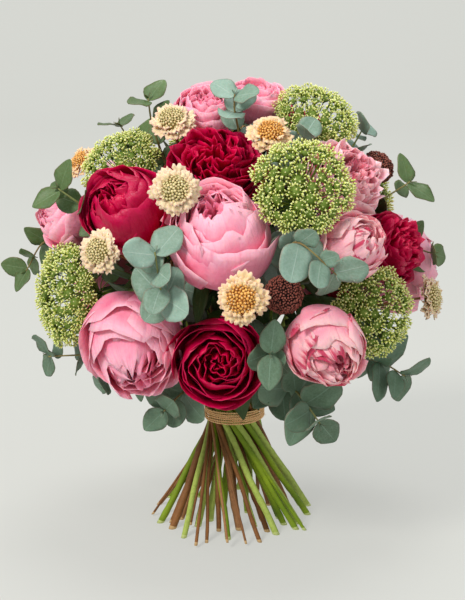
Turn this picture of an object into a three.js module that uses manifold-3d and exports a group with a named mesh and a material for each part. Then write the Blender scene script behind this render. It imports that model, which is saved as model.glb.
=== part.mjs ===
// Hand-tied bunch of peonies with umbels, scabious, brown heads and eucalyptus.
// Millimetres, +Z up. The bunch stands on its cut stem ends at z = 0, its front looks along -Y.
import * as THREE from 'three';
import Module from 'manifold-3d';

const wasm = await Module();
wasm.setup();

// ---- driving dimensions ----
const DOME_CENTRE = [8, 0, 272];        // middle of the flower dome
const TIE_Z = 120;                      // middle height of the twine
const TIE_HEIGHT = 15;
const TIE_TURNS = 4;
const TIE_INNER_RADIUS = 27.9;
const TWINE_WIDTH = 3;
const TIE_SEGMENTS = 16;
const CORE_RADIUS = 27.4;               // where the stems are pressed together, under the twine
const CORE_HEIGHT = 11;
const NECK_RINGS = [[23.3, 20], [17, 14], [10.6, 7], [4, 2]];      // radius, stems
const SPIRAL_LEAN = 0.0281;             // sideways run per millimetre of height and of radius
const LEAN_SPREAD = 0.2;                // how much that differs from stem to stem
const NECK_SHIFT = 0.3;                 // stagger along a ring, in shares of a stem's room
const CUT_Z = 8;                        // height of the cut ends in this layout
const JOINT_GAP = 0.3;                  // between a stem's end and what it carries

// Stem widths, and how far a short inner stem stops above the floor.
const STEM_WIDTH = { globe: 6.6, rose: 6.6, open: 6.6, umbel: 5.4, scab: 4, brown: 4.2, spray: 5 };
const WIDTH_SPREAD = 0.3;
// The hidden stretch above the twine: its width as a share of the stem's, its overlap with the lower
// stretch in the core, where it is sampled, and how far its curve keeps straight at either end.
const UPPER_STEM = { share: 0.62, sides: 3, overlap: 1, bends: [0.5, 1], leave: 0.36, arrive: 0.34 };
const LOWER_SIDES = { outer: 5, inner: 4 };
const SHORT_STEMS = { every: 3, lift: 2.4 };
const HEIGHT_COUNTS = 0.35;             // how much a high head counts as one near the middle

// Heights from a head's foot to its middle, in shares of its width.
const FOOT_DEPTH = { globe: 0.44, open: 0.40, rose: 0.40, umbel: 0.42, scab: 0.2, brown: 0.35 };

// Room that a head takes: half width, half depth and shift along its facing, in shares of width.
const HEAD_ROOM = {
  globe: [[0.52, 0.46, 0]], rose: [[0.52, 0.40, 0]], open: [[0.52, 0.38, 0]],
  umbel: [[0.52, 0.19, -0.02], [0.30, 0.16, -0.2]], scab: [[0.52, 0.2, 0]], brown: [[0.52, 0.36, 0]],
};

// ---- colours ----
const LOOK = {
  pink: ['#efa3c0', 0.62], blush: ['#f2c3d0', 0.62], magenta: ['#a20d46', 0.5],
  umbel: ['#9fb45a', 0.8], cream: ['#ead6a8', 0.75], apricot: ['#e9b06a', 0.75],
  brown: ['#7c4636', 0.85], leaf: ['#7f9d8f', 0.6], stem: ['#7d9a35', 0.55], twine: ['#b08a5a', 0.9],
};

// ---- heads: name, kind, middle, width, facing yaw (0 looks at -Y, + turns right) and pitch, colour ----
const HEADS = [
  ['peony_01', 'globe', [-12, -122, 321], 85, -6, 50, 'pink'],
  ['peony_02', 'globe', [-98, -102, 222], 86, -12, -22, 'pink'],
  ['peony_03', 'open', [107, -62, 369], 78, 48, 38, 'blush'],
  ['peony_04', 'globe', [106, -126, 314], 53, 38, 28, 'blush'],
  ['peony_05', 'globe', [80, -152, 232], 64, 14, -12, 'blush'],
  ['peony_06', 'open', [-30, 6, 424], 56, -18, 60, 'pink'],
  ['peony_07', 'open', [20, 24, 433], 52, 8, 78, 'pink'],
  ['peony_08', 'globe', [-166, -4, 316], 51, -62, 12, 'pink'],
  ['peony_09', 'globe', [163, 39, 264], 86, 104, -2, 'pink'],
  ['peony_10', 'globe', [-50, 128, 228], 86, -158, -18, 'pink'],
  ['peony_11', 'open', [62, 122, 327], 82, 156, 24, 'blush'],
  ['peony_12', 'open', [-124, 74, 325], 74, -122, 22, 'blush'],
  ['peony_13', 'globe', [-128, 76, 230], 84, -120, -14, 'pink'],
  ['peony_14', 'open', [-17, -62, 382], 85, 0, 42, 'magenta'],
  ['peony_15', 'globe', [-101, -84, 340], 73, -28, 34, 'magenta'],
  ['peony_16', 'rose', [-16, -142, 212], 74, -4, 8, 'magenta'],
  ['peony_17', 'open', [156, -48, 300], 67, 58, 24, 'magenta'],
  ['peony_18', 'rose', [116, 104, 228], 80, 134, -16, 'magenta'],
  ['peony_19', 'open', [-58, 120, 320], 84, -152, 22, 'magenta'],
  ['peony_20', 'open', [62, 60, 390], 78, 142, 58, 'magenta'],
  ['umbel_01', 'umbel', [-113, -11, 378], 85, -34, 48, 'umbel'],
  ['umbel_02', 'umbel', [62, -132, 377], 100, 8, 38, 'umbel'],
  ['umbel_03', 'umbel', [80, -4, 424], 88, 24, 56, 'umbel'],
  ['umbel_04', 'umbel', [-169, -48, 252], 105, -58, 6, 'umbel'],
  ['umbel_05', 'umbel', [132, -106, 251], 93, 30, 10, 'umbel'],
  ['umbel_06', 'umbel', [36, 144, 246], 90, 168, -10, 'umbel'],
  ['umbel_07', 'umbel', [134, 70, 338], 84, 124, 24, 'umbel'],
  ['umbel_08', 'umbel', [-28, 72, 386], 84, -158, 54, 'umbel'],
  ['scabious_01', 'scab', [-60, -28, 419], 50, -14, 50, 'cream'],
  ['scabious_02', 'scab', [-54, -136, 371], 51, 6, 26, 'cream'],
  ['scabious_03', 'scab', [-123, -138, 315], 47, -30, 14, 'cream'],
  ['scabious_04', 'scab', [6, -182, 281], 53, 0, 14, 'apricot'],
  ['scabious_05', 'scab', [33, -78, 414], 48, 6, 50, 'apricot'],
  ['scabious_06', 'scab', [-153, 34, 369], 40, -56, 38, 'apricot'],
  ['scabious_07', 'scab', [192, -30, 245], 51, 66, 10, 'cream'],
  ['scabious_08', 'scab', [2, 154, 308], 50, -176, 14, 'cream'],
  ['scabious_09', 'scab', [14, 118, 382], 48, 174, 42, 'apricot'],
  ['brown_head_01', 'brown', [45, -144, 276], 38, 6, 14, 'brown'],
  ['brown_head_02', 'brown', [143, 20, 367], 36, 46, 40, 'brown'],
  ['brown_head_03', 'brown', [-112, 128, 276], 40, -136, 0, 'brown'],
];

// ---- eucalyptus: name, how much its blades look to the front, leaf length, branches ----
// A branch is [roll of its first leaf pair, points]. Its first point is the base, and each later
// point carries a pair of leaves. Branches of one spray share the base.
const SPRAYS = [
  ['eucalyptus_01', 0.8, 34, [
    [70, [[-64, 20, 356], [-80, 8, 408], [-84, 0, 437]]],
    [10, [[-64, 20, 356], [-98, 46, 380], [-116, 54, 404]]]]],
  ['eucalyptus_02', 0.8, 34, [
    [20, [[-90, -30, 300], [-124, -46, 326], [-146, -70, 346], [-166, -76, 362]]]]],
  ['eucalyptus_03', 0.8, 32, [
    [80, [[-100, 20, 250], [-152, 22, 276], [-188, 16, 292], [-208, 4, 264]]]]],
  ['eucalyptus_04', 0.6, 34, [
    [0, [[-60, -6, 180], [-110, -24, 184], [-150, -36, 188], [-184, -34, 186]]],
    [30, [[-60, -6, 180], [-98, -8, 166], [-130, -18, 154]]]]],
  ['eucalyptus_05', 0.6, 36, [
    [60, [[-30, -44, 168], [-52, -76, 160], [-68, -100, 150]]]]],
  ['eucalyptus_06', 0.3, 37, [
    [160, [[-40, -50, 250], [-57, -100, 275], [-65, -152, 275], [-72, -154, 318]]]]],
  ['eucalyptus_07', 0.3, 37, [
    [70, [[28, -60, 268], [46, -112, 306], [58, -162, 328], [92, -160, 298]]]]],
  ['eucalyptus_08', 0.2, 37, [
    [100, [[20, -68, 204], [28, -110, 214], [33, -168, 226]]]]],
  ['eucalyptus_09', 0.6, 42, [
    [80, [[30, -46, 168], [54, -92, 172], [68, -124, 164], [80, -138, 150]]]]],
  ['eucalyptus_10', 0.7, 41, [
    [60, [[62, -4, 180], [110, -40, 190], [144, -58, 186], [166, -62, 174]]],
    [30, [[62, -4, 180], [106, 26, 186], [142, 34, 184]]]]],
  ['eucalyptus_11', 0.8, 35, [
    [80, [[104, -2, 280], [138, -4, 330], [172, -6, 356]]],
    [0, [[104, -2, 280], [166, -6, 290], [196, -16, 286]]]]],
  ['eucalyptus_12', 0.6, 30, [
    [80, [[78, 4, 330], [114, 34, 378], [128, 36, 402]]],
    [90, [[78, 4, 330], [58, -48, 384], [66, -60, 410]]]]],
  ['eucalyptus_13', 0.7, 30, [
    [90, [[0, -14, 356], [4, -22, 402], [0, -34, 430], [0, -38, 446]]]]],
  ['eucalyptus_14', 0, 36, [
    [20, [[-64, 60, 270], [-100, 104, 304], [-120, 136, 330]]]]],
  ['eucalyptus_15', 0, 36, [
    [20, [[60, 62, 258], [92, 100, 282], [114, 134, 296], [132, 152, 312]]]]],
  ['eucalyptus_16', 0, 34, [
    [40, [[12, 56, 350], [18, 76, 396], [22, 88, 424]]]]],
  ['eucalyptus_17', 0, 36, [
    [60, [[-16, 50, 168], [-34, 92, 168], [-52, 124, 162], [-62, 140, 150]]]]],
  ['eucalyptus_18', 0, 36, [
    [60, [[36, 40, 168], [70, 78, 168], [96, 104, 160], [110, 118, 148]]]]],
];
const LEAF = {
  widthShare: 0.8, lean: 66, turn: 74, thickness: 2.2, taper: 0.9, cup: 0.08, droop: 0.1,
  tilt: 0.4,                        // how much a blade looks along its twig
  setBack: 3, offset: 0.5,          // from the bend of the twig, and from the twig's middle
};
const TO_THE_FRONT = [0, -1.6, 0.5];
const TWIG = { base: 4, tip: 2.6, sides: 3 };

// What grows as a side branch, and from whose stem.
const BRANCH_OF = {
  umbel_03: 'umbel_02', umbel_08: 'umbel_01', umbel_07: 'umbel_05',
  scabious_02: 'scabious_03', scabious_06: 'scabious_01', scabious_09: 'scabious_08',
  brown_head_01: 'scabious_04', eucalyptus_13: 'eucalyptus_01', eucalyptus_03: 'eucalyptus_02',
  eucalyptus_05: 'eucalyptus_04', eucalyptus_08: 'eucalyptus_06', eucalyptus_09: 'eucalyptus_10',
  eucalyptus_12: 'eucalyptus_11', eucalyptus_16: 'eucalyptus_14', eucalyptus_18: 'eucalyptus_15',
};

// ---- dark leaves on the flower stems: head, place along its stem, roll, length ----
const STEM_LEAVES = [
  ['peony_16', 0.3, 200, 60], ['peony_16', 0.6, 90, 56], ['peony_02', 0.3, 150, 62],
  ['peony_02', 0.6, 230, 58], ['peony_05', 0.3, 180, 60], ['peony_05', 0.6, 120, 56],
  ['peony_10', 0.4, 180, 62], ['peony_13', 0.4, 170, 60], ['peony_18', 0.4, 180, 62],
  ['peony_09', 0.4, 180, 60], ['peony_08', 0.4, 180, 56], ['peony_17', 0.4, 180, 56],
];
const STEM_LEAF = { widthShare: 0.34, lean: 58, thickness: 2.2, cup: 0.1, droop: 0.16 };

// ---- small helpers ----
const vec = (p) => new THREE.Vector3(p[0], p[1], p[2]);
const radians = (degrees) => degrees * Math.PI / 180;
const blend = (a, b, share) => a + (b - a) * share;

// A repeatable draw from 0 to 1 for one thing and one of its properties.
function draw(seed, index) {
  const wave = Math.sin(seed * 12.9898 + index * 78.233) * 43758.5453;
  return wave - Math.floor(wave);
}

// The part of v square to the unit vector n, at unit length.
function squareTo(v, n) {
  return v.clone().addScaledVector(n, -v.dot(n)).normalize();
}

// Axes of a thing that looks along yaw and pitch: side, rise and facing.
function headAxes(yaw, pitch) {
  const y = radians(yaw);
  const p = radians(pitch);
  const facing = new THREE.Vector3(Math.sin(y) * Math.cos(p), -Math.cos(y) * Math.cos(p), Math.sin(p));
  const up = Math.abs(facing.z) < 0.95 ? new THREE.Vector3(0, 0, 1) : new THREE.Vector3(0, 1, 0);
  const side = up.cross(facing).normalize();
  return { side, rise: facing.clone().cross(side), facing };
}

// ---- closed bodies: points and triangles ----

// Rings of equal length from a bottom point to a top point, walls facing out.
// flips tells which quads are split along their other diagonal.
function shell(rings, bottom, top, flips = () => false) {
  const count = rings[0].length;
  const points = [bottom, ...rings.flat(), top];
  const faces = [];
  const at = (ring, column) => 1 + ring * count + (column % count);
  for (let i = 0; i < count; i += 1) {
    faces.push([0, at(0, i + 1), at(0, i)]);
    faces.push([points.length - 1, at(rings.length - 1, i), at(rings.length - 1, i + 1)]);
    for (let j = 0; j + 1 < rings.length; j += 1) {
      const [a, b, c, d] = [at(j, i), at(j, i + 1), at(j + 1, i + 1), at(j + 1, i)];
      faces.push(...(flips(j, i) ? [[a, b, d], [b, c, d]] : [[a, b, c], [a, c, d]]));
    }
  }
  return { points, faces };
}

function placed(body, origin, axes) {
  const points = body.points.map((p) => origin.clone()
    .addScaledVector(axes.side, p.x).addScaledVector(axes.rise, p.y).addScaledVector(axes.facing, p.z));
  return { points, faces: body.faces };
}

function solidOf(body) {
  const vertProperties = new Float32Array(body.points.flatMap((p) => [p.x, p.y, p.z]));
  const triVerts = new Uint32Array(body.faces.flat());
  return new wasm.Manifold(new wasm.Mesh({ numProp: 3, vertProperties, triVerts }));
}

function fused(bodies) {
  const whole = bodies.map(solidOf).reduce((sum, solid) => sum.add(solid));
  const mesh = whole.getMesh();
  const points = [];
  for (let i = 0; i < mesh.vertProperties.length; i += mesh.numProp) {
    points.push(vec(mesh.vertProperties.slice(i, i + 3)));
  }
  const faces = [];
  for (let i = 0; i < mesh.triVerts.length; i += 3) {
    faces.push(Array.from(mesh.triVerts.slice(i, i + 3)));
  }
  return { points, faces };
}

function meshOf(name, body, look) {
  const geometry = new THREE.BufferGeometry();
  const corners = body.faces.flat().flatMap((i) => body.points[i].toArray());
  geometry.setAttribute('position', new THREE.Float32BufferAttribute(corners, 3));
  geometry.computeVertexNormals();
  const [color, roughness] = LOOK[look];
  const mesh = new THREE.Mesh(geometry, new THREE.MeshStandardMaterial({ color, roughness, metalness: 0 }));
  mesh.name = name;
  return mesh;
}

// ---- flower heads, drawn at width 1 with the foot at the origin ----

// Cups of petals, from the foot over each rim to the heart.
// Each row is radius, height, rim scallop, petal overlap and cup.
const PEONY_ROWS = {
  globe: [[0.07, 0, 0, 0, 0], [0.36, 0.1, 0, 0.4, 0], [0.5, 0.38, 0, 1, 0], [0.45, 0.68, 1, 1, 0],
    [0.405, 0.67, 1, 1, 0], [0.36, 0.58, 0, 0.6, 0], [0.33, 0.8, 1, 1, 1], [0.285, 0.79, 1, 1, 1],
    [0.23, 0.68, 0, 0.6, 1], [0.17, 0.87, 1, 1, 2], [0.12, 0.86, 1, 1, 2]],
  open: [[0.07, 0, 0, 0, 0], [0.3, 0.1, 0, 0.4, 0], [0.45, 0.24, 0, 1, 0], [0.5, 0.42, 1, 1, 0],
    [0.455, 0.43, 1, 1, 0], [0.36, 0.36, 0, 0.6, 0], [0.385, 0.58, 1, 1, 1], [0.335, 0.58, 1, 1, 1],
    [0.25, 0.47, 0, 0.6, 1], [0.24, 0.68, 1, 1, 2], [0.18, 0.67, 1, 1, 2]],
  rose: [[0.07, 0, 0, 0, 0], [0.36, 0.1, 0, 0.4, 0], [0.5, 0.32, 0, 1, 0], [0.475, 0.58, 1, 1, 0],
    [0.43, 0.58, 1, 1, 0], [0.37, 0.5, 0, 0.6, 0], [0.35, 0.68, 1, 1, 1], [0.305, 0.68, 1, 1, 1],
    [0.24, 0.56, 0, 0.6, 1], [0.19, 0.7, 1, 1, 2], [0.14, 0.69, 1, 1, 2]],
};
const PEONY_HEART = { globe: 0.74, open: 0.5, rose: 0.54 };
// Columns of one petal: turn within the petal, radius factor and rim lift.
const PETAL_COLUMNS = [[-0.44, 0.93, -0.055], [0, 1, 0.025], [0.42, 1.03, -0.03]];
const PETAL_STRAY = 0.1;      // in shares of a petal
const RIM_STRAY = 0.05;
const PLAIN_HEADS = { behind: 30, under: 60 };     // at the back, or small: one row less
const FIVE_PETALS = ['peony_01', 'peony_02', 'peony_03', 'peony_14', 'peony_15', 'peony_16'];

function peonyHead(name, kind, seed, plain) {
  const petals = FIVE_PETALS.includes(name) ? 5 : 4;
  const rows = PEONY_ROWS[kind].filter((row, j) => j !== 1 || !plain);
  const rings = rows.map(([radius, height, scallop, overlap, cup]) => {
    const ring = [];
    for (let petal = 0; petal < petals; petal += 1) {
      for (const [turn, factor, lift] of PETAL_COLUMNS) {
        const place = petal + turn + cup / 2 + draw(seed, 1) + PETAL_STRAY * draw(seed, petal);
        const angle = place * 2 * Math.PI / petals;
        const reach = radius * blend(1, factor, overlap);
        const ruffle = scallop * (lift + RIM_STRAY * (draw(seed, petal + 7 * cup + 2) - 0.5));
        ring.push(new THREE.Vector3(reach * Math.cos(angle), reach * Math.sin(angle), height + ruffle));
      }
    }
    return ring;
  });
  return shell(rings, vec([0, 0, 0]), vec([0, 0, PEONY_HEART[kind]]));
}

const WAVY_HEADS = {
  umbel: {
    columns: 16, plainColumns: 14, top: 0.55, ripple: 0.06,
    rows: [[[0.05, 0], [0.05, 0], 0], [[0.2, 0.1], [0.16, 0.2], 0], [[0.4, 0.21], [0.36, 0.28], 0],
      [[0.5, 0.29], [0.45, 0.31], 1], [[0.49, 0.38], [0.43, 0.36], 1], [[0.38, 0.43], [0.38, 0.48], 1],
      [[0.26, 0.54], [0.26, 0.49], 1], [[0.13, 0.53], [0.13, 0.58], 1]],
  },
  scab: {
    columns: 16, plainColumns: 16, top: 0.36, ripple: 0.12,
    rows: [[[0.07, 0], [0.07, 0], 0], [[0.5, 0.19], [0.4, 0.13], 1], [[0.47, 0.24], [0.37, 0.19], 1],
      [[0.33, 0.2], [0.31, 0.27], 1], [[0.21, 0.33], [0.2, 0.29], 1], [[0.1, 0.34], [0.11, 0.38], 1]],
  },
  brown: {
    columns: 12, plainColumns: 12, top: 0.64, ripple: 0.16,
    rows: [[[0.09, 0], [0.09, 0], 0], [[0.38, 0.12], [0.33, 0.1], 1], [[0.5, 0.32], [0.44, 0.36], 1],
      [[0.38, 0.5], [0.45, 0.54], 1], [[0.24, 0.66], [0.19, 0.58], 1]],
  },
};

// Rings whose columns take turns between two values. A row is [radius, height] of its even columns,
// the same of its odd ones, and how much it strays.
function wavyHead({ rows, columns, top, ripple }, seed) {
  const rings = rows.map(([even, odd, strays], j) => {
    const ring = [];
    for (let i = 0; i < columns; i += 1) {
      const [radius, height] = i % 2 ? odd : even;
      const angle = (i + draw(seed, 0)) * 2 * Math.PI / columns;
      const drift = strays * ripple * (draw(seed, i + 40 * j) - 0.5);
      const reach = radius * (1 + drift);
      ring.push(new THREE.Vector3(reach * Math.cos(angle), reach * Math.sin(angle), height + 0.3 * drift));
    }
    return ring;
  });
  return shell(rings, vec([0, 0, 0]), vec([0, 0, top]), (j, i) => (i + j) % 2 === 1);
}

function headBody({ name, kind, seed, middle, width }) {
  const plain = middle.y > PLAIN_HEADS.behind || width < PLAIN_HEADS.under;
  if (kind in WAVY_HEADS) {
    const plan = WAVY_HEADS[kind];
    return wavyHead({ ...plan, columns: plain ? plan.plainColumns : plan.columns }, seed);
  }
  return peonyHead(name, kind, seed, plain);
}

function headOf(row, seed) {
  const [name, kind, middle, width, yaw, pitch, look] = row;
  const axes = headAxes(yaw, pitch);
  const foot = vec(middle).addScaledVector(axes.facing, -FOOT_DEPTH[kind] * width);
  const rooms = HEAD_ROOM[kind].map(([half, depth, shift]) => ({
    centre: vec(middle).addScaledVector(axes.facing, shift * width), axes,
    half: [half * width, half * width, depth * width],
  }));
  return { name, kind, look, seed, width, axes, middle: vec(middle), foot, rooms };
}

function headMesh(head) {
  const body = headBody(head);
  const sized = { points: body.points.map((p) => p.clone().multiplyScalar(head.width)), faces: body.faces };
  return meshOf(head.name, placed(sized, head.foot, head.axes), head.look);
}

// ---- blades ----

// Stations of a blade: share of its length, share of its half width.
const BLADE_STATIONS = [[0.17, 0.68], [0.5, 1], [0.84, 0.66]];
const PLAIN_STATIONS = [[0.28, 0.92], [0.72, 0.86]];
const LONG_LEAF = 35;         // from this length on, a front leaf gets the finer stations
const LANCE_STATIONS = [[0.3, 0.95], [0.66, 0.8]];

// A point of a blade: share of its length, share of its half width to the side.
function bladePoint(blade, along, across, lift) {
  const { base, axes, length, half, style } = blade;
  const fold = style.cup * half * across * across - style.droop * length * along * along;
  return base.clone().addScaledVector(axes.facing, along * length)
    .addScaledVector(axes.side, across * half).addScaledVector(axes.rise, fold + lift);
}

// A leaf with a ridge on both faces that runs out in thin edges.
function bladeBody(blade, stations) {
  const rings = stations.map(([along, share]) => {
    const edge = (across) => bladePoint(blade, along, across, 0);
    const spine = (side) => bladePoint(blade, along, 0, side * blade.style.thickness / 2);
    return [edge(share), spine(1), edge(-share), spine(-1)];
  });
  return shell(rings, bladePoint(blade, 0, 0, 0), bladePoint(blade, 1, 0, 0), (j, i) => i > 1);
}

function bladeRoom(blade) {
  const centre = bladePoint(blade, 0.5, 0, 0);
  return { centre, axes: blade.axes, half: [blade.half + 1, 5, blade.length / 2 + 1] };
}

const TEST_PLACES = [[0.3, 0.9], [0.3, -0.9], [0.5, 1], [0.5, 0], [0.5, -1], [0.8, 0.7], [0.8, -0.7], [1, 0]];
const ROOM_MARGIN = 1.6;

function insideRoom(point, room) {
  const away = point.clone().sub(room.centre);
  const shares = [room.axes.side, room.axes.rise, room.axes.facing]
    .map((axis, i) => away.dot(axis) / (room.half[i] + ROOM_MARGIN));
  return shares[0] ** 2 + shares[1] ** 2 + shares[2] ** 2 < 1;
}

function isClear(blade, rooms) {
  return TEST_PLACES.every(([along, across]) => {
    const point = bladePoint(blade, along, across, 0);
    return rooms.every((room) => !insideRoom(point, room));
  });
}

// Tries of a blade that is in the way: outward pull and share of its length.
const BENDS = [[0, 1], [0.3, 1], [0.6, 1], [1, 0.9], [1.5, 0.8], [2.2, 0.7]];

// A blade bent outward until nothing stands in its way, or nothing if it can't be.
function freeBlade(base, heading, look, length, style, rooms) {
  const outward = base.clone().sub(vec(DOME_CENTRE)).normalize();
  for (const [pull, scale] of BENDS) {
    const facing = heading.clone().addScaledVector(outward, pull).normalize();
    const rise = squareTo(look, facing);
    const side = rise.clone().cross(facing);
    const size = length * scale;
    const half = size * style.widthShare / 2;
    const blade = { base, axes: { side, rise, facing }, length: size, half, style };
    if (isClear(blade, rooms)) {
      return blade;
    }
  }
  return null;
}

// ---- twigs and sprays ----

// The way to the next point, or from the last one at the end.
function alongAt(points, j) {
  const before = points[Math.max(j - 1, 0)];
  const after = points[Math.min(j + 1, points.length - 1)];
  return after.clone().sub(before).normalize();
}

// A round bar along points, its end faces square to its way or to the ends asked for.
function tube(points, widths, sides, ends = {}) {
  const start = alongAt(points, 0);
  let u = Math.abs(start.z) < 0.9 ? new THREE.Vector3(0, 0, 1) : new THREE.Vector3(0, -1, 0);
  const rings = points.map((point, j) => {
    const along = alongAt(points, j);
    const normal = (j === 0 && ends.first) || (j === points.length - 1 && ends.last) || along;
    u = squareTo(u, along);
    const v = along.clone().cross(u);
    const ring = [];
    for (let i = 0; i < sides; i += 1) {
      const angle = i * 2 * Math.PI / sides;
      const offset = u.clone().multiplyScalar(Math.cos(angle)).addScaledVector(v, Math.sin(angle))
        .multiplyScalar(widths[j] / 2);
      const slide = -offset.dot(normal) / along.dot(normal);
      ring.push(point.clone().add(offset).addScaledVector(along, slide));
    }
    return ring;
  });
  return shell(rings, points[0], points[points.length - 1]);
}

function twigWidths(count) {
  return Array.from({ length: count }, (_, i) => blend(TWIG.base, TWIG.tip, i / (count - 1)));
}

// Axes round a twig: u points up, or to the front on an upright twig.
function twigAxes(points, index) {
  const along = alongAt(points, index);
  const guide = Math.abs(along.z) < 0.85 ? new THREE.Vector3(0, 0, 1) : new THREE.Vector3(0, -1, 0);
  const u = squareTo(guide, along);
  return { along, u, v: along.clone().cross(u) };
}

function leafHeading(frame, roll, lean) {
  const turn = radians(roll);
  const round = frame.u.clone().multiplyScalar(Math.cos(turn)).addScaledVector(frame.v, Math.sin(turn));
  return frame.along.clone().multiplyScalar(Math.cos(radians(lean)))
    .addScaledVector(round, Math.sin(radians(lean)));
}

function branchLeaves(points, roll, front, leafLength, rooms) {
  const blades = [];
  for (let i = 1; i < points.length; i += 1) {
    const frame = twigAxes(points, i);
    const node = points[i].clone().lerp(points[i - 1], LEAF.setBack / points[i].distanceTo(points[i - 1]));
    const outward = points[i].clone().sub(vec(DOME_CENTRE)).normalize();
    const look = outward.clone().addScaledVector(frame.along, LEAF.tilt)
      .addScaledVector(vec(TO_THE_FRONT), front);
    const size = leafLength * (i === points.length - 1 ? LEAF.taper : 1);
    for (const half of [0, 180]) {
      const heading = leafHeading(frame, roll + LEAF.turn * (i - 1) + half, LEAF.lean);
      const base = node.clone().addScaledVector(heading, LEAF.offset);
      const blade = freeBlade(base, heading, look, size, LEAF, rooms);
      if (blade) {
        blades.push(blade);
      }
    }
  }
  return blades;
}

function sprayOf(row, rooms) {
  const [name, front, leafLength, branches] = row;
  const bodies = [];
  const blades = [];
  for (const [roll, route] of branches) {
    const points = route.map(vec);
    const last = points[points.length - 1];
    const before = points[points.length - 2];
    const tip = last.clone().addScaledVector(last.clone().sub(before).normalize(), 4);
    const twig = [...points, tip];
    bodies.push(tube(twig, twigWidths(twig.length), TWIG.sides, { first: baseHeading(branches) }));
    blades.push(...branchLeaves(points, roll, front, leafLength, rooms));
  }
  const stations = front > 0 && leafLength >= LONG_LEAF ? BLADE_STATIONS : PLAIN_STATIONS;
  const leaves = blades.map((blade) => bladeBody(blade, stations));
  return {
    name, mesh: meshOf(name, fused([...bodies, ...leaves]), 'leaf'),
    foot: vec(branches[0][1][0]), heading: baseHeading(branches), rooms: blades.map(bladeRoom),
  };
}

// The way a spray leaves its base: the mean of its branches.
function baseHeading(branches) {
  const sum = new THREE.Vector3();
  for (const [, route] of branches) {
    sum.add(vec(route[1]).sub(vec(route[0])).normalize());
  }
  return sum.normalize();
}

// ---- stems ----

function meanAngle(angles) {
  const sines = angles.reduce((sum, angle) => sum + Math.sin(angle), 0);
  const cosines = angles.reduce((sum, angle) => sum + Math.cos(angle), 0);
  return Math.atan2(sines, cosines);
}

// Every carried thing gets a place in the neck: the outer rings take what stands furthest out.
function neckPlaces(carried) {
  const reach = (c) => Math.hypot(c.foot.x, c.foot.y) - HEIGHT_COUNTS * (c.foot.z - TIE_Z);
  const order = [...carried].sort((a, b) => reach(b) - reach(a));
  const places = new Map();
  let first = 0;
  for (const [radius, size] of NECK_RINGS) {
    const ring = order.slice(first, first + size);
    first += size;
    const azimuth = (c) => Math.atan2(c.foot.y, c.foot.x) + Math.PI / 2;
    ring.sort((a, b) => azimuth(a) - azimuth(b));
    const step = 2 * Math.PI / ring.length;
    const mean = meanAngle(ring.map((c, i) => azimuth(c) - i * step));
    ring.forEach((c, i) => {
      const turn = (i + NECK_SHIFT * (draw(i, radius) - 0.5)) * step;
      const spread = 1 + LEAN_SPREAD * (draw(i + 9, radius) - 0.5);
      places.set(c.name, { radius, angle: mean + turn, spread });
    });
  }
  return places;
}

const isOuter = (place) => place.radius === NECK_RINGS[0][0];

// Where a stem of the spiral is at a height, near and below the neck.
function spiralPoint(place, z) {
  const h = z - TIE_Z;
  const lean = SPIRAL_LEAN * place.spread * place.radius * h;
  return new THREE.Vector3(
    place.radius * Math.cos(place.angle) + lean * Math.sin(place.angle),
    place.radius * Math.sin(place.angle) - lean * Math.cos(place.angle), z);
}

// From a start that already heads away, in a bend, to the foot of what is carried.
function bentRoute(start, away, carried) {
  const end = carried.foot.clone().addScaledVector(carried.heading, -JOINT_GAP);
  const span = end.distanceTo(start);
  const leaving = start.clone().addScaledVector(away, UPPER_STEM.leave * span);
  const arriving = end.clone().addScaledVector(carried.heading, -UPPER_STEM.arrive * span);
  const curve = new THREE.CubicBezierCurve3(start, leaving, arriving, end);
  return UPPER_STEM.bends.map((t) => curve.getPoint(t));
}

// The hidden stretch of a stem, from the pressed core up.
function upperRoute(place, carried) {
  const start = spiralPoint(place, TIE_Z);
  const away = spiralPoint(place, TIE_Z + 1).sub(start).normalize();
  return [spiralPoint(place, TIE_Z - UPPER_STEM.overlap), ...bentRoute(start, away, carried)];
}

// A side branch leaves its parent's stem at the bend.
function branchRoute(parent, carried) {
  const [low, bend] = parent;
  return [bend, ...bentRoute(bend, bend.clone().sub(low).normalize(), carried)];
}

function lowerStem(place, thick, cut) {
  const route = [spiralPoint(place, cut), spiralPoint(place, TIE_Z + UPPER_STEM.overlap)];
  const level = vec([0, 0, 1]);
  const sides = isOuter(place) ? LOWER_SIDES.outer : LOWER_SIDES.inner;
  return tube(route, [thick, thick], sides, { first: level, last: level });
}

function upperStem(route, thick, carried) {
  const widths = route.map(() => thick * UPPER_STEM.share);
  return tube(route, widths, UPPER_STEM.sides, { last: carried.heading });
}

function stemLeafBody(row, routes, rooms) {
  const [name, share, roll, length] = row;
  const route = routes.get(name);
  const bend = route[route.length - 2];
  const end = route[route.length - 1];
  const base = bend.clone().lerp(end, share);
  const ahead = end.clone().sub(bend).normalize();
  const u = squareTo(new THREE.Vector3(0, 0, 1), ahead);
  const heading = leafHeading({ along: ahead, u, v: ahead.clone().cross(u) }, roll, STEM_LEAF.lean);
  const look = base.clone().sub(vec(DOME_CENTRE));
  const blade = freeBlade(base, heading, look, length, STEM_LEAF, rooms);
  return blade ? bladeBody(blade, LANCE_STATIONS) : null;
}

function coreBody() {
  const ring = (z) => Array.from({ length: TIE_SEGMENTS }, (_, i) => {
    const angle = i * 2 * Math.PI / TIE_SEGMENTS;
    return new THREE.Vector3(CORE_RADIUS * Math.cos(angle), CORE_RADIUS * Math.sin(angle), z);
  });
  const low = TIE_Z - CORE_HEIGHT / 2;
  const high = TIE_Z + CORE_HEIGHT / 2;
  return shell([ring(low), ring(high)], vec([0, 0, low]), vec([0, 0, high]));
}

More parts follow.
